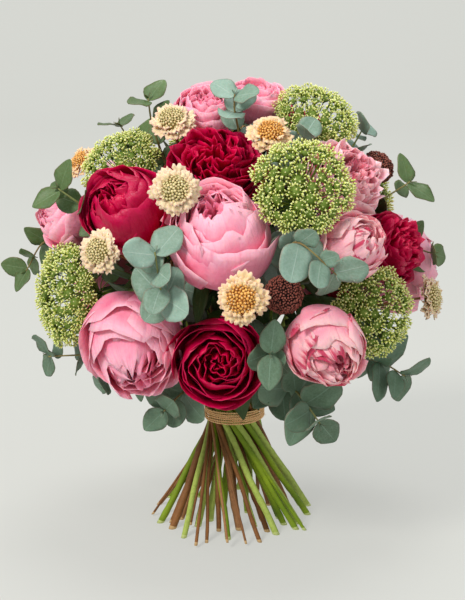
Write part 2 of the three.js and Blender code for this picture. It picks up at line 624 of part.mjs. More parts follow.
function stemsMesh(carried, rooms) {
  const rooted = carried.filter((c) => !(c.name in BRANCH_OF));
  const places = neckPlaces(rooted);
  const routes = new Map(rooted.map((c) => [c.name, upperRoute(places.get(c.name), c)]));
  for (const c of carried.filter((other) => other.name in BRANCH_OF)) {
    routes.set(c.name, branchRoute(routes.get(BRANCH_OF[c.name]), c));
  }
  const spreadOf = (i) => 1 + WIDTH_SPREAD * (draw(i, 8) - 0.5);
  const thick = new Map(carried.map((c, i) => [c.name, STEM_WIDTH[c.kind] * spreadOf(i)]));
  const lower = rooted.map((c, i) => {
    const place = places.get(c.name);
    const short = isOuter(place) || i % SHORT_STEMS.every ? 0 : SHORT_STEMS.lift * (1 + 2 * draw(i, 3));
    return lowerStem(place, thick.get(c.name), CUT_Z + short);
  });
  const upper = carried.map((c) => upperStem(routes.get(c.name), thick.get(c.name), c));
  const leaves = STEM_LEAVES.map((row) => stemLeafBody(row, routes, rooms)).filter(Boolean);
  return meshOf('stems', fused([coreBody(), ...upper, ...leaves, ...lower]), 'stem');
}

// ---- the tie ----

function tieBody() {
  const step = TIE_HEIGHT / TIE_TURNS;
  const low = TIE_Z - TIE_HEIGHT / 2;
  const groove = TIE_INNER_RADIUS + 0.62 * TWINE_WIDTH;
  const outer = [];
  for (let i = 0; i < TIE_TURNS; i += 1) {
    outer.push([groove, low + i * step]);
    outer.push([TIE_INNER_RADIUS + TWINE_WIDTH, low + (i + 0.5) * step]);
  }
  outer.push([groove, low + TIE_HEIGHT]);
  const profile = [[TIE_INNER_RADIUS, low], ...outer, [TIE_INNER_RADIUS, low + TIE_HEIGHT]];
  const points = [];
  const faces = [];
  for (let i = 0; i < TIE_SEGMENTS; i += 1) {
    const angle = i * 2 * Math.PI / TIE_SEGMENTS;
    points.push(...profile.map(([r, z]) => new THREE.Vector3(r * Math.cos(angle), r * Math.sin(angle), z)));
    for (let j = 0; j < profile.length; j += 1) {
      const here = i * profile.length;
      const next = ((i + 1) % TIE_SEGMENTS) * profile.length;
      const after = (j + 1) % profile.length;
      faces.push([here + j, next + j, next + after], [here + j, next + after, here + after]);
    }
  }
  return { points, faces };
}

// The knot and its two short ends, at the back: widths and points out from the twine.
const KNOT_PIECES = [
  { sides: 6, widths: [4, 7, 4], points: [[-3.4, -0.8, 0], [0, 0.6, 0], [3.4, -0.8, 0]] },
  { sides: 5, widths: [2.6, 2.6, 2.2], points: [[-1, 0, 0], [-7, 2.6, -7], [-10, 4, -17]] },
  { sides: 5, widths: [2.6, 2.6, 2.2], points: [[1, 0, 0], [8, 3, -4], [13, 3.6, -13]] },
];

function knotBodies() {
  const start = new THREE.Vector3(0, TIE_INNER_RADIUS + TWINE_WIDTH, TIE_Z);
  return KNOT_PIECES.map(({ sides, widths, points }) => {
    const route = points.map((p) => vec(p).add(start));
    return tube(route, widths, sides);
  });
}

// ---- the bunch ----

function bunch() {
  const heads = HEADS.map((row, i) => headOf(row, i));
  const rooms = heads.flatMap((head) => head.rooms);
  const sprays = [];
  for (const row of SPRAYS) {
    const spray = sprayOf(row, rooms);
    rooms.push(...spray.rooms);
    sprays.push(spray);
  }
  const carried = [
    ...heads.map(({ name, kind, foot, axes }) => ({ name, kind, foot, heading: axes.facing })),
    ...sprays.map(({ name, foot, heading }) => ({ name, kind: 'spray', foot, heading })),
  ];
  const group = new THREE.Group();
  group.name = 'bunch_of_peonies';
  group.add(stemsMesh(carried, rooms));
  group.add(meshOf('tie', fused([tieBody(), ...knotBodies()]), 'twine'));
  group.add(...heads.map(headMesh), ...sprays.map((spray) => spray.mesh));
  const box = new THREE.Box3().setFromObject(group);
  const middle = box.getCenter(new THREE.Vector3());
  group.position.set(-middle.x, -middle.y, -CUT_Z);
  return group;
}

export default bunch();
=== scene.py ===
import math

import bpy
import numpy as np
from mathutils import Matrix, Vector


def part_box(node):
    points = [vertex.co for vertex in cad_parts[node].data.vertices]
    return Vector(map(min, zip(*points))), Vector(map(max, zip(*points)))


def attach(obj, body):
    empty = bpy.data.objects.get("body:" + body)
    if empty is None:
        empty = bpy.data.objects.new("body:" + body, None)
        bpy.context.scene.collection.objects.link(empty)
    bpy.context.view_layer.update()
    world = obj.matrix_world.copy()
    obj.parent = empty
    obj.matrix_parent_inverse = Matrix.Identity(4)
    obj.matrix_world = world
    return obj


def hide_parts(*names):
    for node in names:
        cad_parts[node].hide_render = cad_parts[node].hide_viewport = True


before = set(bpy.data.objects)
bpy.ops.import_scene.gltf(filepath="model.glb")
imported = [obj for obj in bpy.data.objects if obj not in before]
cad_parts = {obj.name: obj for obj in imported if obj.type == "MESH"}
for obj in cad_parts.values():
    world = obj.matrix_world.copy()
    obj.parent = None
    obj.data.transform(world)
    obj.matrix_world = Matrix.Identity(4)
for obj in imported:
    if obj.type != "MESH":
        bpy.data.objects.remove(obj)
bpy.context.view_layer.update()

# The layout below is in millimetres about the middle of the twine, z up from the cut stem ends.
mm = 0.001
tieRing = {"outerRadius": 30.9, "top": 127.5, "middle": 120}
tieLow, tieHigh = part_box("tie")
layoutShift = np.array([
    (tieLow[0] + tieHigh[0]) / 2,
    tieLow[1] + tieRing["outerRadius"] * mm,
    tieHigh[2] - tieRing["top"] * mm,
])
cutHeight = -layoutShift[2] / mm
domeCentre = np.array([8.0, 0.0, 272.0])
farFrom = 30                                # heads behind this have fewer faces
goldenTurn = math.pi * (3 - math.sqrt(5))


# The same number from 0 to 1 for the same seed, as the stems' plan needs.
def draw(seed, index):
    wave = math.sin(seed * 12.9898 + index * 78.233) * 43758.5453
    return wave - math.floor(wave)


def vector(*numbers):
    return np.array(numbers, float)


def unit(v):
    return v / np.linalg.norm(v)


def units(v):
    return v / np.maximum(np.linalg.norm(v, axis=-1, keepdims=True), 1e-12)


def squareTo(v, n):
    return unit(v - n * np.dot(v, n))


# Points about the z axis.
def polar(radius, turn, height=0.0):
    return np.stack(np.broadcast_arrays(radius * np.cos(turn), radius * np.sin(turn), height), -1)


def turnsOf(sides):
    return np.arange(sides) * 2 * math.pi / sides


# Evenly spread places on a disc of radius 1.
def sunflower(count):
    k = np.arange(count) + 0.5
    return np.sqrt(k / count), k * goldenTurn


# A bag gathers the points, faces and marks of one object.
def newBag():
    return {"points": [], "marks": [], "faces": {3: [], 4: []}, "kinds": {3: [], 4: []}, "count": 0}


# Marks are four numbers a point, which the materials read: along, across, layer and tint.
def marksOf(shape, *values):
    marks = np.zeros((*shape, 4))
    for k, value in enumerate(values):
        marks[..., k] = value
    return marks


def addPart(bag, points, faces, marks, kind=0):
    bag["points"].append(points)
    bag["marks"].append(marks)
    for corners in faces:
        size = corners.shape[1]
        bag["faces"][size].append(corners + bag["count"])
        bag["kinds"][size].append(np.full(len(corners), kind))
    bag["count"] += len(points)


# The bag as one object that stands for the given nodes.
def makeObject(name, bag, materials, *nodes):
    corners, kinds, starts, start = [], [], [], 0
    for size in (3, 4):
        if bag["faces"][size]:
            faces = np.concatenate(bag["faces"][size])
            corners.append(faces.ravel())
            kinds.append(np.concatenate(bag["kinds"][size]))
            starts.append(start + size * np.arange(len(faces)))
            start += faces.size
    points = np.concatenate(bag["points"]) * mm + layoutShift
    starts = np.concatenate(starts)
    mesh = bpy.data.meshes.new(name)
    mesh.vertices.add(len(points))
    mesh.vertices.foreach_set("co", points.ravel())
    mesh.loops.add(start)
    mesh.loops.foreach_set("vertex_index", np.concatenate(corners))
    mesh.polygons.add(len(starts))
    mesh.polygons.foreach_set("loop_start", starts)
    mesh.polygons.foreach_set("material_index", np.concatenate(kinds))
    mesh.update(calc_edges=True)
    mesh.polygons.foreach_set("use_smooth", np.ones(len(starts), bool))
    place = mesh.attributes.new("place", "FLOAT_COLOR", "POINT")
    place.data.foreach_set("color", np.concatenate(bag["marks"]).ravel())
    for material in materials:
        mesh.materials.append(material)
    piece = bpy.data.objects.new(name, mesh)
    bpy.context.collection.objects.link(piece)
    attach(piece, "root")
    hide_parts(*nodes)


# A closed thin sheet from a grid of points: front, back and the rim between them.
def addSheet(bag, grid, thickness, marks):
    rows, cols = grid.shape[:2]
    normal = units(np.cross(np.gradient(grid, axis=1), np.gradient(grid, axis=0)))
    half = thickness / 2
    points = np.concatenate([(grid - half * normal).reshape(-1, 3), (grid + half * normal).reshape(-1, 3)])
    index = np.arange(rows * cols).reshape(rows, cols)
    front = np.stack([index[:-1, :-1], index[:-1, 1:], index[1:, 1:], index[1:, :-1]], -1).reshape(-1, 4)
    back = front[:, ::-1] + rows * cols
    loop = np.concatenate([index[0, :-1], index[:-1, -1], index[-1, :0:-1], index[:0:-1, 0]])
    after = np.roll(loop, -1)
    rim = np.stack([after, loop, loop + rows * cols, after + rows * cols], -1)
    flat = marks.reshape(-1, 4)
    addPart(bag, points, [np.concatenate([front, back, rim])], np.concatenate([flat, flat]))


# A round bar along points, closed by a point at either end. Its first end may be cut level.
def addTube(bag, points, radii, sides, marks, kind=0, level=False):
    count = len(points)
    ways = units(np.gradient(points, axis=0))
    u = vector(0, 0, 1) if abs(ways[0][2]) < 0.9 else vector(0, -1, 0)
    turns = turnsOf(sides)
    rings = []
    for point, way, radius in zip(points, ways, np.broadcast_to(radii, count)):
        u = squareTo(u, way)
        v = np.cross(way, u)
        rings.append(point + radius * (np.outer(np.cos(turns), u) + np.outer(np.sin(turns), v)))
    if level:
        rings[0] -= np.outer((rings[0][:, 2] - points[0][2]) / ways[0][2], ways[0])
    body = np.concatenate(rings + [points[:1], points[-1:]])
    index = np.arange(count * sides).reshape(count, sides)
    after = np.roll(index, -1, axis=1)
    walls = np.stack([index[:-1], after[:-1], after[1:], index[1:]], -1).reshape(-1, 4)
    low = np.stack([np.full(sides, count * sides), after[0], index[0]], -1)
    high = np.stack([np.full(sides, count * sides + 1), index[-1], after[-1]], -1)
    ends = np.array([marks[0], marks[-1]])
    addPart(bag, body, [walls, low, high], np.concatenate([np.repeat(marks, sides, axis=0), ends]), kind)


# Side, rise and facing of many small things at once.
def framesFor(facings, spins):
    facings = units(facings)
    guide = np.where(np.abs(facings[:, 2:]) < 0.9, [[0.0, 0, 1]], [[0.0, 1, 0]])
    side = units(np.cross(guide, facings))
    rise = np.cross(facings, side)
    spins = np.reshape(spins, (-1, 1))
    c, s = np.cos(spins), np.sin(spins)
    return np.stack([c * side + s * rise, c * rise - s * side, facings], axis=1)


# Faces of one shape, numbered on for each of its copies.
def repeated(faces, count, size):
    steps = (np.arange(count) * size)[:, None, None]
    return [(corners[None] + steps).reshape(-1, corners.shape[1]) for corners in faces]


# Copies of one small closed shape, each with its own place, way, size, spin, layer and tint.
def addCopies(bag, shape, places, facings, sizes, spins, layers, tints, kind=0):
    points, faces, heights = shape
    count, size = len(places), len(points)
    turned = np.einsum("pi,nij->npj", points, framesFor(facings, spins))
    body = places[:, None] + np.reshape(sizes, (-1, 1, 1)) * turned
    marks = marksOf((count, size), heights, 0, np.reshape(layers, (-1, 1)), np.reshape(tints, (-1, 1)))
    addPart(bag, body.reshape(-1, 3), repeated(faces, count, size), marks.reshape(-1, 4), kind)


# Straight three-sided bars between two lists of points.
def addBars(bag, starts, ends, radius, marks, kind=0):
    offsets = radius * np.einsum("pi,nij->npj", polar(1, turnsOf(3)), framesFor(ends - starts, 0))
    body = np.concatenate([starts[:, None] + offsets, ends[:, None] + 0.7 * offsets], axis=1)
    walls = np.array([[0, 1, 4, 3], [1, 2, 5, 4], [2, 0, 3, 5]])
    caps = np.array([[0, 2, 1], [3, 4, 5]])
    faces = repeated((walls, caps), len(starts), 6)
    addPart(bag, body.reshape(-1, 3), faces, np.repeat(marks, 6, axis=0), kind)


# A small closed star: lobes round a raised middle.
def starShape(lobes, inner, top, droop):
    here = np.arange(2 * lobes)
    odd = here % 2
    ring = polar(np.where(odd, inner, 1.0), here * math.pi / lobes, np.where(odd, 0.0, droop))
    points = np.concatenate([ring, [[0, 0, top], [0, 0, -0.5]]])
    after = (here + 1) % (2 * lobes)
    upper = np.stack([here, after, np.full(2 * lobes, 2 * lobes)], -1)
    lower = np.stack([after, here, np.full(2 * lobes, 2 * lobes + 1)], -1)
    return points, [np.concatenate([upper, lower])], np.concatenate([np.where(odd, 0.55, 1.0), [0.45, 0.0]])


# A small closed bud of two rings.
def budShape(sides, height, waist):
    circle = polar(1, turnsOf(sides))
    low = circle * [waist, waist, 1] + [0, 0, 0.15 * height]
    high = circle + [0, 0, 0.62 * height]
    points = np.concatenate([low, high, [[0, 0, -0.3], [0, 0, height]]])
    here = np.arange(sides)
    after = (here + 1) % sides
    walls = np.stack([here, after, after + sides, here + sides], -1)
    low = np.stack([np.full(sides, 2 * sides), after, here], -1)
    high = np.stack([np.full(sides, 2 * sides + 1), here + sides, after + sides], -1)
    heights = np.concatenate([np.full(sides, 0.2), np.full(sides, 0.8), [0, 1]])
    return points, [walls, np.concatenate([low, high])], heights


# A material under way: body is its colour so far.
class Shader:
    def __init__(self, name, roughness, specular=0.4, sheen=0.0, subsurface=0.0):
        self.material = bpy.data.materials.new(name)
        self.material.use_nodes = True
        self.tree = self.material.node_tree
        self.inputs = self.tree.nodes["Principled BSDF"].inputs
        for key, number in {"Roughness": roughness, "Specular IOR Level": specular, "Sheen Weight": sheen,
                            "Subsurface Weight": subsurface, "Subsurface Scale": 0.002}.items():
            self.inputs[key].default_value = number
        place = self.add("ShaderNodeAttribute")
        place.attribute_name = "place"
        parts = self.add("ShaderNodeSeparateColor")
        self.put(place.outputs["Color"], parts.inputs["Color"])
        self.along, self.across, self.layer = parts.outputs
        self.tint = place.outputs["Alpha"]

    def add(self, kind, **settings):
        node = self.tree.nodes.new(kind)
        for key, value in settings.items():
            setattr(node, key, value)
        return node

    def put(self, value, socket):
        if isinstance(value, bpy.types.NodeSocket):
            self.tree.links.new(value, socket)
        else:
            socket.default_value = value

    def math(self, operation, *values):
        node = self.add("ShaderNodeMath", operation=operation)
        for value, socket in zip(values, node.inputs):
            self.put(value, socket)
        return node.outputs[0]

    def times(self, a, b):
        return self.math("MULTIPLY", a, b)

    def spread(self, value, low, high, newLow=0.0, newHigh=1.0):
        node = self.add("ShaderNodeMapRange")
        for key, number in (("From Min", low), ("From Max", high), ("To Min", newLow), ("To Max", newHigh)):
            node.inputs[key].default_value = number
        self.put(value, node.inputs["Value"])
        return node.outputs["Result"]

    # The first colours of the body, from foot to tip.
    def ramp(self, *stops):
        node = self.add("ShaderNodeValToRGB")
        elements = node.color_ramp.elements
        while len(elements) < len(stops):
            elements.new(0.5)
        for element, (position, colour) in zip(elements, stops):
            element.position = position
            element.color = (*colour, 1)
        self.put(self.along, node.inputs["Fac"])
        self.body = node.outputs["Color"]

    def mix(self, factor, a, b):
        node = self.add("ShaderNodeMix", data_type="RGBA", blend_type="MIX")
        self.put(factor, node.inputs["Factor"])
        for value, socket in ((a, node.inputs[6]), (b, node.inputs[7])):
            self.put((*value, 1) if isinstance(value, tuple) else value, socket)
        self.body = node.outputs[2]

    # Lays a colour over the body, more of it as value goes from low to high.
    def over(self, value, low, high, most, colour):
        self.mix(self.spread(value, low, high, 0.0, most), self.body, colour)

    # Coordinates from the marks: across, along and tint, each at its own scale.
    def markPlace(self, *scales):
        node = self.add("ShaderNodeCombineXYZ")
        for socket, mark, scale in zip(node.inputs, (self.across, self.along, self.tint), scales):
            self.put(self.times(mark, scale), socket)
        return node.outputs[0]

    # Noise in the object's own space, or in the given one.
    def noise(self, scale, detail=3.0, roughness=0.55, place=None):
        node = self.add("ShaderNodeTexNoise")
        self.put(place or self.add("ShaderNodeTexCoord").outputs["Object"], node.inputs["Vector"])
        for key, number in (("Scale", scale), ("Detail", detail), ("Roughness", roughness)):
            node.inputs[key].default_value = number
        return node.outputs["Fac"]

    # Puts the body on the surface, with a bump of the given strength and depth in metres.
    def finish(self, height, strength, distance):
        self.put(self.body, self.inputs["Base Color"])
        node = self.add("ShaderNodeBump")
        node.inputs["Strength"].default_value = strength
        node.inputs["Distance"].default_value = distance
        self.put(height, node.inputs["Height"])
        self.put(node.outputs["Normal"], self.inputs["Normal"])
        return self.material


# A colour as the shader takes it, from 0 to 255 a channel.
def lin(*channels):
    return tuple(((v / 255 + 0.055) / 1.055) ** 2.4 if v > 10 else v / 255 / 12.92 for v in channels)


# What the bunch holds: form, middle, width, facing yaw (0 looks at -Y) and pitch, look
heads = {
    "peony": [
        ("globe", (-12, -122, 321), 85, -6, 50, "pink"),
        ("globe", (-98, -102, 222), 86, -12, -22, "pink"),
        ("open", (107, -62, 369), 78, 48, 38, "blush"),
        ("globe", (106, -126, 314), 53, 38, 28, "streaked"),
        ("globe", (80, -152, 232), 64, 14, -12, "streaked"),
        ("open", (-30, 6, 424), 56, -18, 60, "pink"),
        ("open", (20, 24, 433), 52, 8, 78, "pink"),
        ("globe", (-166, -4, 316), 51, -62, 12, "pink"),
        ("globe", (163, 39, 264), 86, 104, -2, "pink"),
        ("globe", (-50, 128, 228), 86, -158, -18, "pink"),
        ("open", (62, 122, 327), 82, 156, 24, "blush"),
        ("open", (-124, 74, 325), 74, -122, 22, "blush"),
        ("globe", (-128, 76, 230), 84, -120, -14, "pink"),
        ("open", (-17, -62, 382), 85, 0, 42, "magenta"),
        ("globe", (-101, -84, 340), 73, -28, 34, "magenta"),
        ("rose", (-16, -142, 212), 74, -4, 8, "magenta"),
        ("open", (156, -48, 300), 67, 58, 24, "magenta"),
        ("rose", (116, 104, 228), 80, 134, -16, "magenta"),
        ("open", (-58, 120, 320), 84, -152, 22, "magenta"),
        ("open", (62, 60, 390), 78, 142, 58, "magenta"),
    ],
    "umbel": [
        ("umbel", (-113, -11, 378), 85, -34, 48, "umbel"),
        ("umbel", (62, -132, 377), 100, 8, 38, "umbel"),
        ("umbel", (80, -4, 424), 88, 24, 56, "umbel"),
        ("umbel", (-169, -48, 252), 105, -58, 6, "umbel"),
        ("umbel", (132, -106, 251), 93, 30, 10, "umbel"),
        ("umbel", (36, 144, 246), 90, 168, -10, "umbel"),
        ("umbel", (134, 70, 338), 84, 124, 24, "umbel"),
        ("umbel", (-28, 72, 386), 84, -158, 54, "umbel"),
    ],
    "scabious": [
        ("scab", (-60, -28, 419), 50, -14, 50, "cream"),
        ("scab", (-54, -136, 371), 51, 6, 26, "cream"),
        ("scab", (-123, -138, 315), 47, -30, 14, "cream"),
        ("scab", (6, -182, 281), 53, 0, 14, "apricot"),
        ("scab", (33, -78, 414), 48, 6, 50, "apricot"),
        ("scab", (-153, 34, 369), 40, -56, 38, "apricot"),
        ("scab", (192, -30, 245), 51, 66, 10, "cream"),
        ("scab", (2, 154, 308), 50, -176, 14, "cream"),
        ("scab", (14, 118, 382), 48, 174, 42, "apricot"),
    ],
    "brown_head": [
        ("brown", (45, -144, 276), 38, 6, 14, "brown"),
        ("brown", (143, 20, 367), 36, 46, 40, "brown"),
        ("brown", (-112, 128, 276), 40, -136, 0, "brown"),
    ],
}
footDepth = {"globe": 0.44, "open": 0.40, "rose": 0.40, "umbel": 0.42, "scab": 0.2, "brown": 0.35}
# The rooms that leaves keep out of: half width, half depth and shift, as shares of the width
headRoom = {
    "globe": [(0.52, 0.46, 0)], "rose": [(0.52, 0.40, 0)], "open": [(0.52, 0.38, 0)],
    "umbel": [(0.52, 0.19, -0.02), (0.30, 0.16, -0.2)], "scab": [(0.52, 0.2, 0)], "brown": [(0.52, 0.36, 0)],
}


def makeHead(name, row, seed):
    kind, middle, width, yaw, pitch, look = row
    y, p = math.radians(yaw), math.radians(pitch)
    facing = vector(math.sin(y) * math.cos(p), -math.cos(y) * math.cos(p), math.sin(p))
    up = vector(0, 0, 1) if abs(facing[2]) < 0.95 else vector(0, 1, 0)
    side = unit(np.cross(up, facing))
    axes = np.array([side, np.cross(facing, side), facing])
    centre = vector(*middle)
    rooms = [
        {"centre": centre + facing * shift * width, "axes": axes,
         "half": vector(half * width, half * width, depth * width)}
        for half, depth, shift in headRoom[kind]
    ]
    return {"name": name, "kind": kind, "look": look, "seed": seed, "width": width, "axes": axes,
            "rooms": rooms, "heading": facing, "foot": centre - facing * footDepth[kind] * width,
            "far": middle[1] > farFrom}


# Points of a head drawn at width 1 with its foot at the origin, put in their place.
def placed(points, head):
    return head["foot"] + head["width"] * (points @ head["axes"])


def headsOf(*kinds):
    return [head for head in allHeads if head["kind"] in kinds]


named = [(f"{family}_{n + 1:02d}", row) for family, rows in heads.items() for n, row in enumerate(rows)]
allHeads = [makeHead(name, row, seed) for seed, (name, row) in enumerate(named)]

# A layer is: petals, half width in degrees, the side profile (radius, height) from foot to rim,
# ruffle, crumple, outward curl of the rim, and how far the rim strays.
bloomLayers = {
    "globe": [
        (4, 54, ((0.05, 0.0), (0.50, -0.04), (0.64, 0.36), (0.50, 0.62)), 0.014, 0.013, 0.055, 0.14),
        (4, 58, ((0.05, 0.0), (0.49, -0.02), (0.61, 0.48), (0.37, 0.76)), 0.016, 0.014, 0.040, 0.15),
        (4, 58, ((0.05, 0.01), (0.46, 0.0), (0.58, 0.56), (0.27, 0.83)), 0.018, 0.015, 0.034, 0.16),
        (5, 50, ((0.05, 0.02), (0.42, 0.02), (0.53, 0.60), (0.19, 0.85)), 0.022, 0.016, 0.034, 0.16),
        (6, 42, ((0.05, 0.04), (0.36, 0.06), (0.44, 0.60), (0.14, 0.82)), 0.030, 0.018, 0.034, 0.14),
        (7, 34, ((0.04, 0.1), (0.27, 0.15), (0.31, 0.62), (0.11, 0.83)), 0.036, 0.020, 0.030, 0.10),
        (6, 38, ((0.03, 0.2), (0.15, 0.25), (0.20, 0.62), (0.06, 0.83)), 0.034, 0.018, 0.020, 0.08),
    ],
    "open": [
        (5, 46, ((0.05, 0.0), (0.30, -0.06), (0.48, 0.06), (0.52, 0.34)), 0.010, 0.012, 0.030, 0.07),
        (4, 52, ((0.05, 0.02), (0.32, -0.04), (0.48, 0.16), (0.47, 0.44)), 0.012, 0.012, 0.020, 0.08),
        (11, 23, ((0.05, 0.04), (0.30, 0.0), (0.43, 0.24), (0.37, 0.54)), 0.026, 0.024, 0.060, 0.16),
        (12, 21, ((0.05, 0.06), (0.25, 0.04), (0.38, 0.32), (0.30, 0.60)), 0.030, 0.026, 0.050, 0.16),
        (12, 21, ((0.05, 0.08), (0.2, 0.1), (0.31, 0.38), (0.23, 0.64)), 0.030, 0.026, 0.045, 0.16),
        (10, 25, ((0.04, 0.12), (0.14, 0.16), (0.23, 0.42), (0.16, 0.66)), 0.030, 0.024, 0.040, 0.15),
        (8, 30, ((0.02, 0.2), (0.07, 0.26), (0.14, 0.45), (0.08, 0.66)), 0.028, 0.018, 0.030, 0.12),
    ],
    "rose": [
        (4, 56, ((0.05, 0.0), (0.46, -0.06), (0.62, 0.16), (0.50, 0.50)), 0.014, 0.012, 0.055, 0.08),
        (4, 58, ((0.05, 0.01), (0.44, -0.02), (0.57, 0.28), (0.44, 0.58)), 0.016, 0.013, 0.045, 0.08),
        (5, 50, ((0.05, 0.02), (0.40, 0.0), (0.51, 0.36), (0.36, 0.63)), 0.020, 0.014, 0.040, 0.10),
        (5, 48, ((0.05, 0.04), (0.33, 0.05), (0.43, 0.40), (0.27, 0.65)), 0.026, 0.016, 0.040, 0.10),
        (6, 40, ((0.05, 0.06), (0.25, 0.1), (0.33, 0.42), (0.19, 0.66)), 0.034, 0.018, 0.036, 0.11),
        (5, 44, ((0.04, 0.12), (0.17, 0.16), (0.23, 0.43), (0.11, 0.65)), 0.034, 0.018, 0.030, 0.11),
        (4, 50, ((0.02, 0.2), (0.08, 0.26), (0.12, 0.44), (0.04, 0.63)), 0.028, 0.014, 0.010, 0.08),
    ],
}
# How far a bloom's opening lies off its middle, to its right and upward.
openingAt = {
    "peony_01": (-0.05, 0.12), "peony_02": (0.10, -0.12), "peony_04": (0.12, 0.08),
    "peony_05": (0.12, -0.14), "peony_08": (-0.06, 0.05), "peony_15": (-0.05, 0.06),
}
softBlooms = ("peony_06", "peony_07", "peony_12")         # open ones with wide soft petals
# A petal's columns are a fewest number and some more for each degree of its half width.
petalStyle = {
    "thickness": 0.45, "rows": 11, "cols": (4, 0.2), "farRows": 7, "farCols": (3, 0.1), "stray": 0.04,
    "overlap": 0.045, "roundness": 0.15, "notch": 0.06, "notchWidth": 0.14, "broad": 0.9,
}


# The place on a curve through four numbers, and its slope.
def cubic(ends, share):
    keep = 1 - share
    a, b, c, d = ends
    at = keep ** 3 * a + 3 * keep ** 2 * share * b + 3 * keep * share ** 2 * c + share ** 3 * d
    slope = 3 * (keep ** 2 * (b - a) + 2 * keep * share * (c - b) + share ** 2 * (d - c))
    return at, slope


# s runs from foot to rim and t from side to side. A few slow waves give ruffles, dents and a ragged rim.
def petalGrid(layer, azimuth, rows, cols, rng):
    _, halfTurn, profile, ruffle, crumple, curl, stray = layer
    style = petalStyle
    s = np.linspace(0, 1, rows)[:, None] ** 0.85
    t = np.linspace(-1, 1, cols)[None, :]
    waves = rng.uniform(0, 2 * math.pi, 6)
    frill = (0.5 * np.sin(5 * t + waves[0]) + 0.35 * np.sin(9 * t + waves[1])
             + 0.25 * np.sin(16 * t + waves[2]))
    notch = style["notch"] * rng.uniform(0, 1.6)
    notch = notch * np.exp(-((t - rng.uniform(-0.3, 0.3)) / style["notchWidth"]) ** 2)
    reach = 1 + stray * (rng.uniform(-1, 0.7) + 0.3 * frill + 0.6 * t * rng.uniform(-1, 1)) - notch
    share = s * (reach * (1 - style["roundness"] * np.abs(t) ** 2.6))
    radius, goOut = cubic([r for r, _ in profile], share)
    height, goUp = cubic([z for _, z in profile], share)
    size = np.hypot(goOut, goUp)
    fold = ruffle * s ** 2.2 * (np.sin(4.2 * t + waves[3]) + 0.6 * np.sin(8.5 * t + waves[1]) * s ** 2)
    dents = (np.sin(3.1 * t + 4.5 * s + waves[4]) * np.sin(5.5 * s + waves[5])
             + 0.7 * np.sin(7.5 * t - 5 * s + waves[2]) + 0.5 * np.sin(11 * s + 4 * t + waves[0]))
    lip = curl * np.maximum(0, (s - 0.72) / 0.28) ** 2 * (0.8 + 1.1 * np.sin(2.2 * t + waves[2]))
    lean = style["overlap"] * t * (0.4 + 0.6 * s)
    away = fold + lip + lean + crumple * dents * s * (1.2 - 0.4 * s)
    radius = np.maximum(radius + goUp / size * away, 0.004)
    height = height - goOut / size * away
    spread = math.radians(halfTurn) * (0.62 + 0.38 * np.sin(np.minimum(1, s / 0.6) * math.pi / 2))
    spread = spread * (1 + style["broad"] * np.maximum(0, s - 0.55))
    turn = azimuth + t * spread * rng.uniform(0.92, 1.08) + 0.10 * rng.uniform(-1, 1) * s
    return polar(radius, turn, height), s + 0 * t, t + 0 * s


def makePeony(head, material):
    style = petalStyle
    rng = np.random.default_rng(100 + head["seed"])
    rows = style["farRows" if head["far"] else "rows"]
    fewest, perDegree = style["farCols" if head["far"] else "cols"]
    bag = newBag()
    layers = bloomLayers["rose" if head["name"] in softBlooms else head["kind"]]
    opening = np.array(openingAt.get(head["name"], rng.uniform(-0.05, 0.05, 2)))
    for depth, layer in enumerate(layers):
        first = rng.uniform(0, 2 * math.pi)
        petals = layer[0]
        cols = round(fewest + perDegree * layer[1])
        for petal in range(petals):
            azimuth = first + (petal + style["stray"] * petals * rng.uniform(-1, 1)) * 2 * math.pi / petals
            grid, along, across = petalGrid(layer, azimuth, rows, cols, rng)
            grid[..., :2] += opening * (np.maximum(grid[..., 2:], 0) / 0.8) ** 2
            marks = marksOf(along.shape, along, across, depth / (len(layers) - 1), rng.uniform())
            addSheet(bag, placed(grid, head), style["thickness"], marks)
    makeObject(head["name"] + "_bloom", bag, [material], head["name"])


# The heart colour is partly the inner petals' deeper tone and partly painted light that lifts the shaded
# opening of the bloom.
petalLooks = {
    "pink": {"foot": lin(224, 76, 118), "body": lin(242, 118, 152), "rim": lin(255, 188, 205),
             "heart": lin(254, 104, 152), "streak": lin(234, 90, 134), "streaks": 0.4},
    "blush": {"foot": lin(238, 100, 132), "body": lin(255, 156, 176), "rim": lin(255, 212, 216),
              "heart": lin(244, 96, 132), "streak": lin(236, 110, 144), "streaks": 0.25},
    "streaked": {"foot": lin(228, 80, 122), "body": lin(246, 140, 166), "rim": lin(255, 202, 204),
                 "heart": lin(214, 44, 100), "streak": lin(196, 6, 76), "streaks": 0.9},
    "magenta": {"foot": lin(184, 0, 50), "body": lin(180, 0, 58), "rim": lin(200, 0, 76),
                "heart": lin(236, 0, 80), "streak": lin(150, 0, 44), "streaks": 0.3},
}
petalFinish = {
    "pale": {"specular": 0.25, "glow": 0.2, "heartFrom": 0.45, "clouds": 0.45, "varied": "rim",
             "gloss": (0.48, 0.62)},
    "dark": {"specular": 0.3, "glow": 0.08, "heartFrom": 0.3, "clouds": 0.25, "varied": "streak",
             "gloss": (0.3, 0.46)},
}


